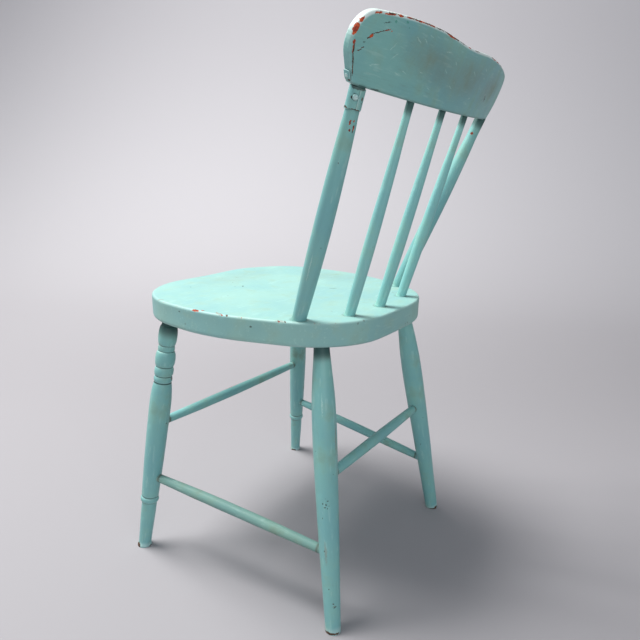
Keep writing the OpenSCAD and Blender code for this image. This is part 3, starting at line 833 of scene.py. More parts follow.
@dataclass
class Legs:
    """The four legs: two turned with bulbs and beads, two plain."""

    chair: Chair
    turned: float = 105.0

    def front_outline(self, length: float) -> list:
        """A front leg: flared foot, ankle ring, shaft, two beads and two bulbs."""
        start = length - self.turned
        first, second, bulb, thin, neck = (
            start + self.turned * share for share in (0.11, 0.26, 0.51, 0.6, 0.91)
        )
        shaft = [(97, 28), (0.6 * start, 32.2), (0.85 * start, 34.5), (start - 14, 32), (start, 28)]
        return (
            [(-3.0, 11.2), (-1.0, 11.6), (1.0, 11.75), (3.0, 11.5), (4.6, 10.7)]
            + curve([(7, 20.5), (30, 21.5), (60, 23.9), (85.6, 24.8)], 3)
            + bead(86, 96, 25, 30.5)
            + curve(shaft, 3)
            + bead(start + 1, first, 25.5, 29.5)
            + bead(first + 0.2, second, 25.5, 30.5, 14)
            + bead(second + 0.2, bulb, 25.5, 32, 18)
            + bead(bulb + 0.2, thin, 24.5, 26.5)
            + bead(thin + 0.2, neck, 24, 30, 20)
            + [(neck + 2.5, 11.4), (length - 3, 11), (length + 8, 11)]
        )

    def back_outline(self, length: float) -> list:
        """A back leg: plain, thickest at seven tenths of its height."""
        shares = (
            (0, 22.5), (0.06, 23.7), (0.23, 27.5), (0.36, 30.7), (0.53, 33.5), (0.69, 35.5),
            (0.8, 33.9), (0.87, 30.5), (0.93, 26.5),
        )
        ends = [(length - 14, 24), (length - 6, 23), (length + 8, 22)]
        body = curve([(share * length, dia) for share, dia in shares] + ends, 4)
        return [(-4.0, 10.6), (-2.0, 11.0)] + body

    def marks(self) -> dict[str, list[Mark]]:
        """The chips and stains of each leg."""
        return {
            "leg_front_left": on_round(
                BARE, (2, -52, 11.5, 5, 4.5), (0, 70, 11.5, 4, 3), (1, 170, 11.5, 6, 3),
                (91, 195, 15, 4, 2),
            )
            + on_round(DARK, (234, 62, 17, 1.6, 1.6))
            + on_round(RED, (310, 80, 15, 1.2, 3.0), (332, 160, 16, 2.5, 1.5))
            + on_round(RUB, (150, -85, 15.5, 4, 46), (250, -88, 17, 2.5, 30)),
            "leg_front_right": on_round(
                BARE, (2, -20, 11.5, 6, 3), (1, 110, 11.5, 5, 4), (0, -120, 11.5, 6, 3)
            )
            + on_round(
                RED, (92, -130, 15, 4, 2.4), (360, -20, 16, 3.0, 1.4), (341, 150, 16, 2.6, 1.6)
            )
            + on_round(RUB, (200, 175, 16.5, 4, 40)),
            "leg_back_left": on_round(
                DARK, (191, -25, 15.5, 1.1, 1.2), (186, -14, 15.5, 1.8, 1.2),
                (190, -6, 15.5, 1.2, 2.2), (195, 1, 15.5, 2.0, 1.0), (184, -2, 15.5, 0.9, 1.4),
                (199, -10, 15.5, 0.8, 0.8), (188, 8, 15.5, 0.8, 0.9), (170, -28, 15.5, 0.8, 1.4),
                (122, -30, 15.5, 0.8, 1.8), (67, -16, 15.5, 1.2, 1.2), (232, 35, 15.5, 0.7, 1.2),
                (265, -50, 15.5, 0.9, 1.0), (40, 20, 12.2, 3.0, 1.1, 25),
            )
            + on_round(
                RUB, (41, 14, 12.2, 4.2, 1.5, 20), (120, -22, 14.5, 3, 20), (280, 60, 17.5, 3, 34)
            )
            + on_round(
                BARE, (45, 9, 12.2, 1.4, 0.8), (0, 0, 11.3, 16, 1.7), (1, -50, 11.4, 6, 2.2),
                (0, 160, 11.3, 14, 3),
            )
            + on_round(RED, (300, 150, 17, 2.2, 3.4))
            + on_round(PALE, (330, -8, 16, 1.2, 20)),
            "leg_back_right": on_round(
                BARE, (0, 0, 11.3, 16, 2.6), (2, 40, 11.4, 5, 2.6), (0, -140, 11.3, 12, 4)
            )
            + on_round(DARK, (150, -20, 14.5, 0.9, 1.8), (205, 20, 16, 0.8, 1.2))
            + on_round(RUB, (240, 78, 17, 3, 40))
            + on_round(RED, (285, -120, 17.5, 2.0, 4.0)),
        }

    def dress(self) -> None:
        """Builds and paints the legs."""
        for i, (node, marks) in enumerate(self.marks().items()):
            front, side = "front" in node, 1 if "left" in node else -1
            foot, top = self.chair.leg(side, front)
            outline = self.front_outline if front else self.back_outline
            turning = Turning(
                node, (foot, top), outline((top - foot).length), self.chair,
                seed=11 + 5 * i, wobble=0.3, bow=0.9, segments=96,
                dents=(
                    Dent((14, 8, 150 + 20 * i), 9, 0.8), Dent((12, -11, 230 - 12 * i), 7, 0.7),
                    Dent((-9, 13, 95), 10, 0.9), Dent((10, -5, 60 + 6 * i), 6, 0.6),
                ),
                worn_foot=0.75, shaded=48.0 if front else 38.0, cut=self.flat_foot,
            )
            # Painted shade: the far front-right leg gets more dirt colour so it reads as in the
            # seat's shadow, and every leg's top is darkened under the seat.
            grime_and_shade = 1.3 if node == "leg_front_right" else 0.6
            turning.dress(OldPaint(edge_wear=0.34, grime_and_shade=grime_and_shade, shade=0.95), marks)

    def flat_foot(self, world: Array) -> Array:
        """Sets everything below the floor on it, and what is in the seat under its top."""
        world[:, 2] = np.clip(world[:, 2], 0.0, self.chair.under_z + 8)
        return world


@dataclass
class Stretchers:
    """The four stretchers, swelling to their middles."""

    chair: Chair
    end_r: float = 6.5
    swell: float = 2.0
    grip: float = 12.0
    front_z: float = 226.5
    back_z: float = 218.0
    side_z: tuple[float, float] = (131.5, 110.5)
    right_drop: float = 6.0

    def outline(self, length: float) -> list:
        """A stretcher: parallel in its sockets and thickest halfway."""
        inside = self.grip / 2
        heights = np.linspace(self.grip, length - self.grip, 90)
        share = (heights - self.grip) / (length - 2 * self.grip)
        radii = self.end_r + self.swell * np.sin(math.pi * share).clip(0) ** 0.75
        return [(inside, self.end_r), *zip(heights, radii), (length - inside, self.end_r)]

    def axes(self) -> dict[str, tuple[Vector, Vector]]:
        """The two ends of each stretcher's axis."""
        on, (fore, aft) = self.chair.on_leg, self.side_z
        return {
            "stretcher_front": (on(1, True, self.front_z), on(-1, True, self.front_z)),
            "stretcher_back": (on(1, False, self.back_z), on(-1, False, self.back_z)),
            "stretcher_left": (on(1, True, fore), on(1, False, aft)),
            "stretcher_right": (on(-1, True, fore), on(-1, False, aft - self.right_drop)),
        }

    def marks(self) -> dict[str, list[Mark]]:
        """The rubs, chips and stains of each stretcher."""
        return {
            "stretcher_left": on_round(
                RUB, (60, 62, 8, 5, 48), (170, 70, 8.4, 4, 60), (262, 62, 8, 4, 46)
            )
            + on_round(DARK, (150, 84, 8.4, 3, 90))
            + on_round(RED, (232, -150, 8.3, 3, 6))
            + on_round(
                BARE, (300, 40, 7.6, 1.2, 2), (96, 38, 8.2, 0.6, 12), (150, 41, 8.4, 0.7, 16),
                (212, 37, 8.3, 0.6, 12),
            ),
            "stretcher_front": on_round(DARK, (190, 110, 8.4, 5, 80))
            + on_round(RUB, (150, 76, 8.4, 4, 70))
            + on_round(RED, (180, -130, 8.4, 4, 26), (235, -140, 8.2, 3, 10))
            + on_round(BARE, (185, -134, 8.5, 2, 12), (130, -120, 8.4, 1.6, 7)),
            "stretcher_right": on_round(RUB, (170, 80, 8.4, 4, 60)),
            "stretcher_back": on_round(DARK, (110, 10, 8.2, 0.8, 1.6))
            + on_round(RUB, (160, 76, 8.3, 4, 50)),
        }

    def dress(self) -> None:
        """Builds and paints the stretchers."""
        marks, bare_ends = self.marks(), 19.0
        for i, (node, (start, end)) in enumerate(self.axes().items()):
            length = (end - start).length
            turning = Turning(
                node, (start, end), self.outline(length), self.chair,
                seed=41 + 3 * i, wobble=0.22, bow=1.1, segments=64, dark_top=0.0,
                dents=(Dent((8, 3, 120), 8, 0.5), Dent((-5, 6, 210), 9, 0.6)),
                joints=(bare_ends, length - bare_ends),
            )
            coat = DULL_COAT if node == "stretcher_left" else Coat()
            paint = OldPaint(coat, edge_wear=0.2, grime_and_shade=1.0, shade=0.4, gloss=0.56)
            turning.dress(paint, marks[node])


@dataclass
class Sticks:
    """The two posts and the three spindles."""

    chair: Chair
    post: tuple = (
        (0.02, 20.5), (0.13, 22.2), (0.3, 24), (0.5, 24), (0.64, 22.8), (0.77, 20.6),
        (0.86, 18.4), (0.9, 17), (1.0, 17),
    )
    spindle: tuple = (
        (0.02, 15.5), (0.14, 16.3), (0.32, 17), (0.5, 15.8), (0.67, 14), (0.84, 11.2),
        (0.94, 10.2), (1.0, 10),
    )

    def outline(self, length: float, stations: Sequence[tuple[float, float]]) -> list:
        """A stick's outline, with a rim of paint where it meets the seat."""
        foot = stations[0][1] / 2
        rim = [(-6.0, foot), (-0.5, foot + 1.1), (0.8, foot + 0.6), (2.0, foot + 0.15), (3.2, foot)]
        body = curve([(share * length, dia) for share, dia in stations], 3.5)
        return rim + body + [(length + 3.0, stations[-1][1] / 2)]

    def marks(self) -> dict[str, list[Mark]]:
        """The chips and stains of each stick."""
        return {
            "post_left": on_round(
                RED, (277, 4, 8.9, 1.3, 3.2), (272, 40, 9.0, 1.4, 4.0), (279, 34, 8.9, 1.0, 1.5),
                (269, 14, 9.2, 1.0, 1.6), (236, 165, 10.8, 3, 10),
            )
            + on_round(BARE, (268, 38, 9.1, 0.8, 1.6))
            + on_round(DARK, (230, -5, 10.8, 0.8, 1.0), (120, 20, 12.0, 0.7, 1.6))
            + on_round(PALE, (90, -20, 11.8, 1.2, 26))
            + on_round(RUB, (150, 82, 12, 2.5, 60)),
            "post_right": on_round(RED, (288, -22, 8.5, 2.4, 2.4, 30), (240, -150, 10.6, 2, 8))
            + on_round(BARE, (288, -10, 8.5, 1.2, 0.9)),
            "spindle_left": on_round(DARK, (109, 30, 8.3, 0.8, 0.9))
            + on_round(RUB, (60, 78, 8.4, 1.5, 40)),
            "spindle_middle": on_round(RUB, (90, 80, 8.3, 1.5, 50)),
            "spindle_right": on_round(RED, (70, -165, 8.3, 1.5, 5)),
        }

    def dress(self) -> None:
        """Builds and paints the posts and spindles."""
        marks = self.marks()
        for i, (node, (foot, top)) in enumerate(self.chair.sticks().items()):
            thick = node.startswith("post")
            stations = self.post if thick else self.spindle
            turning = Turning(
                node, (foot, top), self.outline((top - foot).length, stations), self.chair,
                seed=71 + 4 * i, cut=lambda world: self.chair.below_crest(world, 1.5),
                dents=(Dent((9, 4, 90 + 15 * i), 8, 0.45), Dent((7, -6, 190), 7, 0.4)),
            )
            coat = Coat() if thick else CLEAR_COAT
            # Painted shade darkens the tops where the rail shades them.
            turning.dress(OldPaint(coat, edge_wear=0.16, grime_and_shade=0.5, shade=0.85), marks[node])


# ---- The seat ----


@dataclass
class Seat:
    """The plank seat: six rounded corners, soft edges and a surface that has moved a little."""

    chair: Chair
    corners: tuple = ((-186, 0), (186, 0), (209.5, 208), (138.5, 411), (-138.5, 411), (-209.5, 208))
    radii: tuple = (136, 136, 300, 133, 133, 300)
    middle: tuple = (0.0, 205.0)
    thickness: float = 37.5
    top_r: float = 4.0
    under_r: float = 6.0
    rim_in: float = 30.0
    fan_in: float = 136.0
    fan_end: float = 0.985
    soft_h: float = 16.0
    half_w: float = 209.0
    lift: float = 3.0
    dish: float = 1.2
    dish_r: float = 120.0
    points: int = 420
    dents: tuple = (
        Dent((197, 178, 438), 7, 1.4), Dent((193, 200, 439), 5, 1.0),
        Dent((196, 230, 438), 6, 1.2), Dent((172, 314, 438), 6, 1.0),
        Dent((-120, 14, 438), 9, 1.6), Dent((60, 3, 436), 8, 1.4),
        Dent((-200, 240, 437), 8, 1.4), Dent((150, 340, 408), 8, 1.3),
    )

    def outline(self) -> Array:
        """The plan outline with its normals, evenly spaced."""
        v = [np.array(c, float) for c in self.corners]
        arcs = [corner_arc(v[i - 1], v[i], v[(i + 1) % 6], self.radii[i], 24) for i in range(6)]
        loop = np.vstack(arcs + [arcs[0][:1]])
        along = np.cumsum(np.linalg.norm(np.diff(loop[:, :2], axis=0), axis=1))
        along = np.append(0, along)
        at = np.linspace(0, along[-1], self.points, endpoint=False)
        out = np.stack([np.interp(at, along, column) for column in loop.T], axis=1)
        out[:, 2:] /= np.linalg.norm(out[:, 2:], axis=1)[:, None]
        return out

    def rings(self) -> list[tuple[float, float, float]]:
        """Rings as (inset, height, share of edge wear and painted highlight), from the middle of
        the underside to the top's.
        """
        t, under, top = self.thickness, self.under_r, self.top_r
        arc = [(math.sin(a), math.cos(a), math.sin(2 * a)) for a in np.arange(9) * math.pi / 16]
        return (
            [(inset, 0.0, 0.0) for inset in (150, 120, 90, 60, 35, 18, 12)]
            + [(under * (1 - sin), under * (1 - cos), 0.7 * wear) for sin, cos, wear in arc]
            + [(0.0, h, 0.0) for h in np.linspace(under + 2.5, t - top - 2.5, 8)]
            + [(top * (1 - sin), t - top * (1 - cos), wear) for sin, cos, wear in arc[::-1]]
            + [(inset, t, 0.12) for inset in (7.5, 9.5, 12, 15, 19, 24)]
            + [(inset, t, 0.0) for inset in np.linspace(30, 165, 44)]
        )

    def build(self) -> bpy.types.Object:
        """Builds the seat and returns it."""
        loop, middle, base = self.outline(), np.array(self.middle), self.chair.under_z
        place, exposed = [], []
        for inset, h, wear in self.rings():
            edge = loop[:, :2] - loop[:, 2:] * min(inset, self.rim_in)
            share = min(max(0.0, (inset - self.rim_in) / self.fan_in), self.fan_end)
            flat = edge + (middle - edge) * share
            place.append(np.column_stack([flat, np.full(len(flat), base + h)]))
            exposed += [wear] * len(flat)
        place = np.vstack(place + [[*middle, base], [*middle, self.chair.seat_z]])
        world = place.copy()
        top = smooth(place[:, 2], self.chair.seat_z - self.soft_h, self.chair.seat_z)
        out = place[:, :2] - middle
        reach = np.linalg.norm(out, axis=1)
        swell = noise(place, 75.0, 5) * 0.55 + noise(place, 26.0, 6) * 0.18
        lift = np.clip(-place[:, 0] / self.half_w, 0, 1) * self.lift
        world[:, 2] += top * (swell - 0.35) + lift
        world[:, 2] -= top * self.dish * np.exp(-((reach / self.dish_r) ** 2))
        rim = smooth(reach, 150.0, 200.0) * (1 - top * 0.5)
        pull = (noise(place, 40.0, 8) * 0.5 + noise(place, 14.0, 9) * 0.25 - 0.55) * rim
        pull -= hollows(self.dents, place)
        world[:, :2] += out / np.maximum(reach, 1.0)[:, None] * pull[:, None]
        dirt_and_shade_mask = np.zeros(len(place))
        for node, (foot, _) in self.chair.sticks().items():
            d = np.hypot(place[:, 0] - foot.x, place[:, 1] - foot.y)
            r = 11.0 if node.startswith("post") else 8.5
            dirt_and_shade_mask = np.maximum(dirt_and_shade_mask, top * smooth(-d, -(r + 7.0), -(r + 0.5)))
        faces = ring_faces(len(self.rings()), self.points)
        wear = np.array(exposed + [0, 0])
        return make_piece("seat", self.chair.placed(world), faces, place, wear, dirt_and_shade_mask)

    def marks(self) -> list[Mark]:
        """The seat's chips, rubs and stains."""
        return (
            on_plank(
                RED, (202, 184, 439.2, 2.2, 7, 2.0, 4), (198, 195, 440, 1.6, 3.5, 1.6),
                (194, 219, 440, 1.0, 2.0, 1.4, -8), (196, 229, 438.5, 1.6, 4, 1.5, -12),
                (172, 314, 439, 1.5, 4, 1.5, -30), (-120, 6, 438, 11, 3, 4, -8),
                (66, 2, 437, 8, 3, 4), (10, 2, 438.5, 26, 2.2, 2.2),
                (-203, 236, 438, 3, 8, 3, 18),
            )
            + on_plank(
                RUB, (196, 224, 439.5, 3.4, 9, 2.8, -8), (170, 318, 439.5, 3.4, 8, 2.8, -30),
                (191, 96, 439, 3, 9, 3, 14),
            )
            + on_plank(
                BARE, (194, 238, 438.5, 1.6, 3, 2, -12), (168, 322, 439, 1.2, 3, 2, -30),
                (164, 345, 404, 7, 5, 2.0, -30), (-112, 5, 438, 5, 2, 3), (30, 2, 438, 9, 2, 2.4),
            )
            + on_plank(
                DARK, (204, 150, 432, 3, 3.2, 1.4), (186, 275, 427, 3, 2.6, 1.6),
                (206, 205, 420, 3, 1.4, 1.0), (160, 352, 419, 4, 3, 1.0),
                (154, 355, 404, 6, 4, 1.2, -30), (-60, 250, 440, 1.6, 9, 3, 35),
                (30, 120, 440, 1.2, 7, 3, -50), (96, 60, 440, 2.0, 1.6, 3),
            )
            + on_plank(GRIME, (-20, 60, 440, 150, 60, 6), (-150, 180, 440, 60, 100, 6))
        )

    def dress(self) -> None:
        """Builds and paints the seat."""
        piece = self.build()
        # A faint painted highlight pales the seat's edges; a little painted shade rings the stick
        # feet.
        OldPaint(
            SEAT_COAT, edge_wear=0.3, grime_and_shade=0.3, grain_along=0, grime_marks=0.2,
            edge_highlight_share=0.08, shade=0.12, gloss=0.52,
        ).dress(piece, self.marks())
        present(piece, Slot.WOOD)


# ---- The crest rail ----


@dataclass
class Crest:
    """The bent crest rail, with its worn top edge and a painted highlight along it."""

    chair: Chair
    height: float = 84.5
    dip: float = 3.0
    hump: float = 85.0
    fall: float = 19.5
    foot_s: float = 214.0
    flare: float = 44.0
    corner_r: float = 32.0
    foot_r: float = 5.0
    edge_r: float = 4.0
    under_r: float = 1.5
    columns: int = 150
    rows: int = 30
    edge_steps: int = 9
    cuts: tuple = (-70, 10, 95, 150, 192, 214)
    dents: tuple = (
        Dent((236, 3, 52), 7, 1.0), Dent((150, 0, 50), 6, 0.5), Dent((60, 2, 82), 6, 0.9),
        Dent((-100, 3, 81), 7, 0.8), Dent((-136, 0, 32), 5, 0.6), Dent((188, 0, 60), 5, 0.5),
    )

    def slope(self) -> float:
        """How far the ends lean outwards, in radians."""
        return math.atan2(self.flare, self.height - self.fall)

    def top(self, s: Array) -> Array:
        """Height of the top edge at s."""
        end = self.foot_s + self.flare
        middle = self.height - self.dip * (1 + np.cos(math.pi * s / self.hump)) / 2
        outer = self.height - self.fall * ((s - self.hump) / (end - self.hump)) ** 2
        return np.where(s < self.hump, middle, outer)

    def loop(self) -> Array:
        """The outline as [s, height]: left to right below, then back above."""
        corner = np.array([self.foot_s + self.flare, self.height - self.fall])
        before_s = corner[0] - 1.6 * self.corner_r
        before = np.array([before_s, float(self.top(np.array(before_s)))])
        foot = np.array([self.foot_s, 0.0])
        low_arc = corner_arc(np.zeros(2), foot, corner, self.foot_r, 10)[:, :2]
        high = corner_arc(foot, corner, before, self.corner_r, 16)[:, :2]
        widest = int(np.argmax(high[:, 0]))
        lower = np.vstack([[[0, 0]], low_arc, high[: widest + 1]])
        s_top = np.arange(0, high[-1, 0] - 1, 3.0)
        upper = np.vstack([np.column_stack([s_top, self.top(s_top)]), high[: widest - 1 : -1]])
        j = np.arange(-self.columns, self.columns + 1)
        s = high[widest, 0] * np.sin(math.pi / 2 * j / self.columns)
        low, up = (np.interp(np.abs(s), half[:, 0], half[:, 1]) for half in (lower, upper))
        return np.vstack([np.column_stack([s, low]), np.column_stack([s, up])[-2:0:-1]])

    def edges(self, loop: Array) -> tuple[list[Array], Array]:
        """Rings round the rail's edge, from its back face to its front face.

        Args:
            loop: the outline.

        Returns:
            The rings as [s, depth, height] points, and at every point its share of edge wear and
            painted highlight.
        """
        ahead, behind = np.roll(loop, -1, axis=0), np.roll(loop, 1, axis=0)
        normal = np.column_stack([ahead[:, 1] - behind[:, 1], behind[:, 0] - ahead[:, 0]])
        normal /= np.linalg.norm(normal, axis=1)[:, None]
        r = self.edge_r - (self.edge_r - self.under_r) * np.clip(-normal[:, 1], 0, 1)
        # Upward-facing edges get more wear and a stronger painted highlight, as if lit from above.
        upward = 0.25 + 0.75 * np.clip(normal[:, 1] + 0.25, 0, 1)
        rings, exposed = [], []
        for k in range(self.edge_steps + 1):
            a = math.pi / 2 * k / self.edge_steps
            p, depth = loop - normal * (r * (1 - math.sin(a)))[:, None], r * (1 - math.cos(a))
            rings.append(np.column_stack([p[:, 0], depth, p[:, 1]]))
            exposed.append((0.72 * math.sin(a) + 0.28 * math.sin(2 * a)) * upward)
        front = [ring * [1, -1, 1] + [0, self.chair.crest_t, 0] for ring in rings[::-1]]
        return rings + front, np.concatenate(exposed + exposed[::-1])

    def build(self) -> bpy.types.Object:
        """Builds the rail and returns it."""
        t, m = self.chair.crest_t, 2 * self.columns + 1
        flat, wear = self.edges(self.loop())
        n = len(flat[0])
        faces = ring_faces(len(flat), n, caps=False)
        place = np.vstack(flat)
        for base, ring in ((0, flat[0]), ((len(flat) - 1) * n, flat[-1])):
            low, high = ring[:m], ring[(n - np.arange(m)) % n]
            low_row, high_row = base + np.arange(m), base + (n - np.arange(m)) % n
            high_row[0], high_row[-1] = low_row[0], low_row[-1]
            rows = [low_row]
            for k in range(1, self.rows):
                inner = len(place) + np.arange(m - 2)
                rows.append(np.concatenate([low_row[:1], inner, low_row[-1:]]))
                place = np.vstack([place, (low + (high - low) * k / self.rows)[1:-1]])
            rows.append(high_row)
            for near, far in zip(rows, rows[1:]):
                for j in range(m - 1):
                    quad = [int(v) for v in (near[j], near[j + 1], far[j + 1], far[j])]
                    face = list(dict.fromkeys(quad))
                    if len(face) > 2:
                        faces.append(face[::-1] if base == 0 else face)
        wear = np.append(wear, np.zeros(len(place) - len(wear)))
        s, depth, h = place.T
        back = depth < t / 2
        swell = noise(place, 60.0, 21) * 0.35 + noise(place, 22.0, 22) * 0.15
        pull = hollows(self.dents, place)
        depth_at = np.clip(depth + np.where(back, swell + 0.3, swell - 0.3), 0, t)
        depth_at += np.where(back, pull * 0.5, 0)
        dented_from, rough_from = 60, 70
        high = h - np.where(h > dented_from, pull, 0) * 0.6
        high = high - np.abs(noise(place, 18.0, 23)) * 0.3 * (h > rough_from)
        world = self.chair.placed(self.chair.crest(s, high, depth_at))
        dirt_and_shade_mask = 0.8 * smooth(-h, -5.0, -0.5) * smooth(-depth, -t, 0)
        return make_piece("crest_rail", world, faces, place, wear, dirt_and_shade_mask)

    def marks(self) -> list[Mark]:
        """The rail's chips, scratches, strokes and dirt."""
        t = self.chair.crest_t
        strokes = (
            (189, 26, 6, 12), (196, 24, 4, 12), (137, 28, 7, -14), (150, 24, 6, -10),
            (132, 64, 8, -20), (118, 66, 6, -24), (60, 66, 8, 6), (48, 45, 6, -26),
            (30, 58, 7, -30), (164, 40, 9, 40), (172, 48, 8, 50), (104, 34, 5, 0),
            (20, 30, 7, -16), (-40, 56, 8, -20), (-80, 66, 6, -14), (110, 73, 5, -8),
            (-60, 24, 6, 10), (75, 20, 6, -8),
        )
        marks = (
            on_back(
                RED, (234, 51, 2.6, 7.0, -10), (230, 60, 1.2, 4, -36), (232, 39, 1.6, 2.4),
                (230, 33, 1.1, 5, 12), (211, 72.0, 6, 0.9, 18), (192, 75.6, 11, 1.0, 12),
                (176, 78.2, 6, 1.2, 9), (158, 80.2, 10, 0.9, 7), (138, 81.6, 12, 0.9, 5),
                (116, 82.9, 12, 0.8, 4), (66, 82.8, 13, 1.5, -2), (6, 81.0, 5, 0.9),
                (-98, 83.2, 12, 0.8, -2), (-122, 82, 9, 0.8, -4), (190, 60.5, 5, 0.6, 26),
                (211, 49.5, 3.6, 1.7, 30), (183, 61, 1.2, 1.0),
            )
            + on_back(
                BARE, (225, 22, 0.9, 12, 26), (229, 33, 0.9, 6, 14), (220, 12, 0.7, 5, 26),
                (186, 77.2, 10, 0.6, 10), (150, 81.0, 14, 0.6, 6), (122, 83.0, 12, 0.6, 4),
                (96, 83.7, 12, 0.6, 1), (76, 83.8, 14, 0.8, -1), (50, 82.4, 9, 0.8, -4),
                (-22, 81.4, 10, 0.6, 3), (-92, 83.8, 9, 0.5, -1), (-150, 80.2, 9, 0.6, -7),
                (201, 56, 13, 0.45, 24), (214, 47, 2, 1.0, 30), (221, 33.5, 3.4, 0.6, 20),
                (218, 36.5, 2.6, 0.6, 30), (-136, 31, 0.8, 5, 25),
            )
            + on_back(
                DARK, (28, 81.6, 14, 0.8, -2), (218, 42, 2.2, 0.8, 25), (194, 67, 8, 0.5, 18),
                (-133, 30, 1.6, 7, 25), (221, 3, 4, 1.8), (176, 1.5, 10, 1.0),
            )
            + on_back(FRESH, (182, 71, 2.2, 1.6), (163, 75, 2.6, 1.8), (157, 71, 1.6, 1.0))
            + on_back(GRIME, (70, 48, 125, 36, -4), (-20, 46, 120, 38, 6), (-140, 44, 70, 34, 10))
            + on_back(PALE, *((s, h, w, 0.7, slant) for s, h, w, slant in strokes))
            + [Mark(GRIME, (0, t, 45), (150, 4, 30))]
        )
        for s, h, w in ((70, 80, 20), (-30, 79, 12), (-120, 80, 16), (150, 78, 9), (-200, 70, 8)):
            marks.append(Mark(RED, (s, t, h), (w, 3, 2.6)))
            marks.append(Mark(BARE, (s + 3, t, h + 1), (w * 0.5, 3, 1.3)))
        return marks

    def dress(self) -> None:
        """Builds and paints the rail."""
        piece = self.build()
        # A strong painted highlight pales the rail's upper edge; a little painted shade darkens its
        # lower edge.
        OldPaint(
            edge_wear=0.3, grime_and_shade=0.4, grain_along=0, bare_share=0.4, gloss=0.4,
            edge_highlight_share=0.85, shade=0.2, grime_marks=0.55, mottle=1.7, red=srgb(208, 90, 46),
            maroon=srgb(148, 58, 40),
        ).dress(piece, self.marks(), self.cuts)
        present(piece, Slot.WOOD)


# ---- The repairs ----


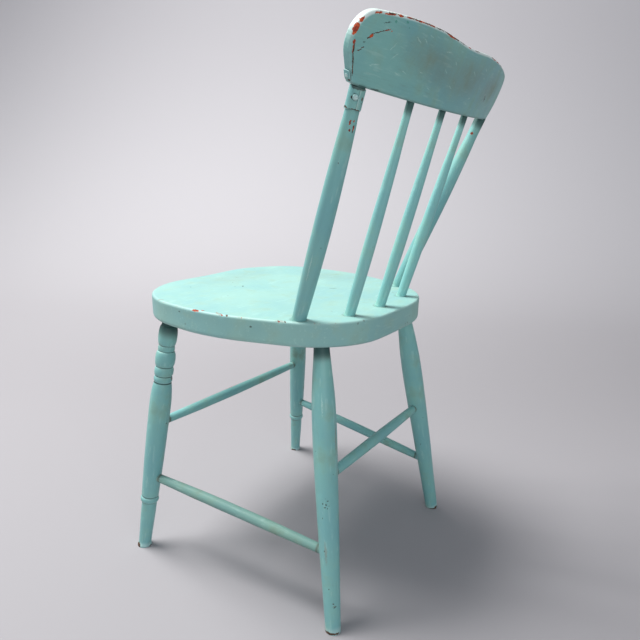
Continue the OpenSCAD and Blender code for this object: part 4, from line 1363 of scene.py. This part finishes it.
@dataclass
class Repairs:
    """The sheet-metal sleeve and the end plate, each with its screw, all painted over."""

    chair: Chair
    crest: Crest
    sleeve_l: float = 24.0
    sleeve_r: float = 8.62
    sleeve_wall: float = 0.95
    seam_at: float = 52.0
    lap: float = 34.0
    screw_drop: float = 10.5
    screw_turn: float = -34.0
    screw_r: float = 9.5
    plate_size: tuple[float, float] = (9.5, 11.0)
    plate_t: float = 1.6
    plate_h: float = 7.5

    def sleeve(self) -> bpy.types.Object:
        """The sleeve: a bent strip with a lapped seam, a lifted burr and hollows round it."""
        foot, top = self.chair.sticks()["post_left"]
        length, n, rows = (top - foot).length, 150, 22
        start, end = math.radians(self.seam_at), math.tau + math.radians(self.lap)
        face, row, a = grid(np.arange(2), np.arange(rows + 1), np.linspace(0, end, n))
        angle, low = start - a, row == 0
        degrees = np.degrees(angle)
        r = self.sleeve_r + self.sleeve_wall * face + smooth(a, math.tau - 0.25, math.tau + 0.05)
        h = length - self.sleeve_l + (self.sleeve_l + 2.5) * row / rows
        dip = 1.6 * np.exp(-(((degrees + 72) % 360 / 9.0) ** 2))
        h = h + low * (0.7 * np.sin(3 * angle + 1) - dip)
        r = r + 0.25 * noise(np.stack([a * 9, h, np.full_like(h, 3.0)], axis=1), 6.0, 91)
        r = r + low * 1.3 * np.exp(-(((degrees + 78) % 360 / 10.0) ** 2))
        place = polar(r, angle, h)
        world = np.array(foot) + place @ stick_axes(foot, top)
        world = self.chair.placed(self.chair.below_crest(world, -1.1))
        count, faces = (rows + 1) * n, []
        for a0 in range(0, rows * n, n):
            b0 = a0 + n - 1
            faces.append((a0, a0 + n, count + a0 + n, count + a0))
            faces.append((b0, count + b0, count + b0 + n, b0 + n))
            for i in range(a0, b0):
                faces.append((count + i, count + i + n, count + i + n + 1, count + i + 1))
                faces.append((i, i + 1, i + n + 1, i + n))
        for i in range(n - 1):
            last = rows * n + i
            faces.append((i, count + i, count + i + 1, i + 1))
            faces.append((last, last + 1, count + last + 1, count + last))
        # The lower edge and the seam get wear and a painted highlight.
        wear = np.where(low | (a > end - 0.12), 0.8, 0.05)
        # Painted shadow of the rail: the top rows are darkened.
        dirt_and_shade_mask = np.where(row > rows - 2, 0.9, 0.1)
        piece = make_piece("post_sleeve", world, faces, place, wear, dirt_and_shade_mask)
        piece.modifiers.new("edges", "EDGE_SPLIT").split_angle = math.radians(40)
        # The wide dark band at the sleeve's top is painted shadow of the rail.
        marks = [
            Mark(mark.kind, (*mark.at[:2], length - mark.at[2]), mark.size, mark.turn)
            for mark in on_round(
                DARK, (10.5, -4, 9.6, 4.6, 4.6), (24, 0, 9.6, 9, 1.2), (16, 52, 9.8, 0.7, 6),
                (0.5, 0, 9.6, 16, 2.4),
            )
            + on_round(
                BARE, (11, -27, 9.6, 1.5, 2.0), (11.5, 44, 9.6, 1.2, 2.2),
                (23.5, -60, 9.6, 3.5, 1.0), (23.5, 20, 9.6, 6, 0.8),
            )
        ]
        OldPaint(edge_wear=0.25, grime_and_shade=0.5, wood=srgb(54, 50, 46), gloss=0.38).dress(piece, marks)
        return piece

    def screw(self, node: str, head: float, high: float, at: Array, out: Array) -> None:
        """A round screw head, painted over, with a filled slot.

        Args:
            node: the screw's node.
            head: its diameter.
            high: its height.
            at: the middle of its seat.
            out: the way it faces.
        """
        out = out / np.linalg.norm(out)
        side = np.cross([0.2, 0.3, 1.0], out)
        side /= np.linalg.norm(side)
        n, rings, sunk = 64, 18, -1.2
        turn = np.arange(n) * math.tau / n
        share, t = grid(np.linspace(0, 1, rings), turn)
        rise = math.pi / 2 * share
        dome = polar(head / 2 * np.cos(rise) + 0.02, t, high * np.sin(rise) + 0.04 * np.sin(5 * t))
        slot = np.exp(-((dome[:, 1] / 0.55) ** 4)) * (np.abs(dome[:, 0]) < head * 0.46)
        dome[:, 2] -= 0.55 * slot * share
        skirt = polar(np.full(n, head / 2), turn, np.full(n, sunk))
        own = np.vstack([skirt, dome, [(0, 0, sunk), (0, 0, high * 0.7)]])
        world = self.chair.placed(at + own @ np.stack([side, np.cross(out, side), out]))
        # The dome pales toward its top, a painted highlight, and the rim under the head is darkened
        # with dirt and painted shade.
        exposed = np.append(np.repeat(np.linspace(0.2, 0.55, rings + 1), n), [0, 0.5])
        dirt_and_shade_mask = np.append(np.repeat([1.0, 0.8] + [0.15] * (rings - 1), n), [0, 0])
        piece = make_piece(node, world, ring_faces(rings + 1, n), own, exposed, dirt_and_shade_mask)
        OldPaint(edge_wear=0.2, grime_and_shade=0.3, gloss=0.3, edge_highlight_share=0.9).dress(piece)
        present(piece, Slot.SCREW)

    def plate(self) -> tuple[bpy.types.Object, Array, Array]:
        """The plate on the rail's left end, with the middle of its face and the way it faces."""
        slope, h, middle, n = self.crest.slope(), self.plate_h, self.chair.crest_t / 2, 60
        s = self.crest.foot_s + h * math.tan(slope)
        centre = self.chair.crest(s, h, middle)
        up = self.chair.crest(s + math.sin(slope), h + math.cos(slope), middle) - centre
        across = self.chair.crest(s, h, middle + 1) - centre
        out = np.cross(up, across)
        out = out * math.copysign(1, out[0])
        half_w, half_l = (size / 2 for size in self.plate_size)
        a, thick = np.arange(n) * math.tau / n, self.plate_t
        x, y = (np.sign(v) * np.abs(v) ** 0.32 for v in (np.cos(a), np.sin(a)))
        levels = ((0.05, 0.0), (thick - 0.5, 0.0), (thick - 0.15, 0.15), (thick, 0.5))
        own = np.vstack([
            np.stack([(half_w - inset) * x, (half_l - inset) * y, z + 0.12 * np.sin(3 * a)], axis=1)
            for z, inset in levels
        ] + [[(0, 0, 0.05), (0, 0, thick + 0.1)]])
        world = self.chair.placed(centre + own @ np.stack([across, up, out]))
        # The raised rim gets wear and a painted highlight; the foot of the plate is darkened with
        # dirt and painted shade.
        exposed = np.append(np.repeat([0.1, 0.4, 0.8, 0.3], n), [0, 0.1])
        dirt_and_shade_mask = np.append(np.repeat([1.0, 0.4, 0.1, 0.1], n), [0, 0.1])
        piece = make_piece("end_plate", world, ring_faces(len(levels), n), own, exposed, dirt_and_shade_mask)
        corner = Mark(BARE, (-3, -4.8, 1.6), (2.4, 1.2, 2))
        OldPaint(edge_wear=0.25, grime_and_shade=0.6, gloss=0.36).dress(piece, [corner])
        return piece, centre + out * thick, out

    def dress(self) -> None:
        """Builds and paints the repairs."""
        foot, top = self.chair.sticks()["post_left"]
        along, turn = (top - foot).normalized(), math.radians(self.screw_turn)
        out = np.array(
            Matrix.Rotation(math.atan2(along.y, along.x), 3, "Z")
            @ Matrix.Rotation(math.acos(along.z), 3, "Y")
            @ Vector((math.cos(turn), math.sin(turn), 0))
        )
        at = np.array(foot) + np.array(along) * ((top - foot).length - self.screw_drop)
        present(self.sleeve(), Slot.SHEET)
        self.screw("sleeve_screw", 7.0, 2.0, at + out * self.screw_r, out)
        plate, face, facing = self.plate()
        present(plate, Slot.SHEET)
        self.screw("end_plate_screw", 5.0, 1.4, face, facing)


# ---- The set ----


@dataclass
class Studio:
    """The floor, the light and the camera."""

    floor_colour: Colour = srgb(160, 158, 162)
    wall_colour: Colour = srgb(212, 210, 214)
    sky: tuple = (0.86, 0.9, 0.95, 1.0)
    sky_strength: float = 0.36
    aim: tuple = (0, 0, 0.45)
    camera_at: tuple = (0.75824, 0.53611, 0.64404)
    camera_turn: tuple = (-122.62, -15.19, 1.97)
    lens: float = 31.72
    shift: tuple = (-0.0245, 0.0023)

    def paper(self) -> bpy.types.Material:
        """Matt paper, paler up the sweep."""
        graph = Graph("pale_floor")
        colour = graph.mix(graph.attribute("sweep"), self.floor_colour, self.wall_colour)
        return graph.finish({"Base Color": colour, "Roughness": 0.9, "Specular IOR Level": 0.1})

    def floor(self) -> None:
        """A pale floor that sweeps up behind the chair."""
        away, side = Vector((-0.842, -0.539, 0)), Vector((-0.539, 0.842, 0))
        bend, near, far, high, wide, steps = 1.6, -6.0, 1.5, 5.0, 9.0, 24
        line = [(near, 0.0)] + [(0.5 + 0.1 * i, 0.0) for i in range(10)]
        for a in (math.pi / 2 * i / steps for i in range(steps + 1)):
            line.append((far + bend * math.sin(a), bend * (1 - math.cos(a))))
        line.append((far + bend, high))
        points = [
            tuple(away * d + side * w + Vector((0, 0, z))) for d, z in line for w in (-wide, wide)
        ]
        faces = [(2 * i, 2 * i + 1, 2 * i + 3, 2 * i + 2) for i in range(len(line) - 1)]
        mesh = bpy.data.meshes.new("floor")
        mesh.from_pydata(points, [], faces)
        mesh.polygons.foreach_set("use_smooth", [True] * len(faces))
        sweep = smooth(np.repeat([d for d, _ in line], 2), 0.5, far + bend)
        mesh.attributes.new("sweep", "FLOAT", "POINT").data.foreach_set("value", sweep.tolist())
        mesh.materials.append(self.paper())
        floor = add_object("floor", mesh)

    def lamp(self, name: str, at: tuple, size: float, power: float, colour: Colour) -> None:
        """A square area lamp aimed at the chair.

        Args:
            name: its name.
            at: where it hangs, in metres.
            size: its side, in metres.
            power: its power, in watts.
            colour: its colour.
        """
        data = bpy.data.lights.new(name, "AREA")
        data.size, data.energy, data.color = size, power, colour
        lamp = add_object(name, data)
        lamp.location = at
        lamp.rotation_euler = (Vector(self.aim) - Vector(at)).to_track_quat("-Z", "Y").to_euler()

    def world(self) -> None:
        """An even pale sky."""
        world = bpy.data.worlds.new("studio")
        world.use_nodes = True
        background = world.node_tree.nodes["Background"]
        background.inputs["Color"].default_value = self.sky
        background.inputs["Strength"].default_value = self.sky_strength
        bpy.context.scene.world = world

    def camera(self) -> None:
        """The view from behind the chair's left side, a little above it."""
        data = bpy.data.cameras.new("camera")
        data.lens, data.sensor_width = self.lens, 36.0
        data.shift_x, data.shift_y = self.shift
        camera = add_object("camera", data)
        yaw, pitch, roll = (math.radians(a) for a in self.camera_turn)
        level = math.cos(pitch)
        ahead = Vector((math.sin(yaw) * level, math.cos(yaw) * level, math.sin(pitch)))
        side = ahead.cross(Vector((0, 0, 1))).normalized()
        up = side.cross(ahead)
        right = math.cos(roll) * side + math.sin(roll) * up
        upright = math.cos(roll) * up - math.sin(roll) * side
        turn = Matrix((right, upright, -ahead)).transposed()
        camera.matrix_world = Matrix.Translation(self.camera_at) @ turn.to_4x4()
        bpy.context.scene.camera = camera

    def build(self) -> None:
        """Sets everything up."""
        self.floor()
        self.world()
        self.lamp("key", (0.45, -1.35, 2.9), 1.5, 150.0, (1.0, 0.985, 0.96))
        self.lamp("fill", (2.3, 2.5, 1.7), 2.6, 42.0, (0.92, 0.96, 1.0))
        self.camera()
        bpy.context.scene.view_settings.view_transform = "Standard"


def main() -> None:
    """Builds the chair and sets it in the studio."""
    logging.basicConfig(level=logging.INFO, format="%(name)s: %(message)s")
    chair = Chair(front_y=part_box("seat")[0][1] / MM)
    crest = Crest(chair)
    Seat(chair).dress()
    Legs(chair).dress()
    Stretchers(chair).dress()
    Sticks(chair).dress()
    crest.dress()
    Repairs(chair, crest).dress()
    Studio().build()
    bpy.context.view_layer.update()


if __name__ == "__main__":
    main()
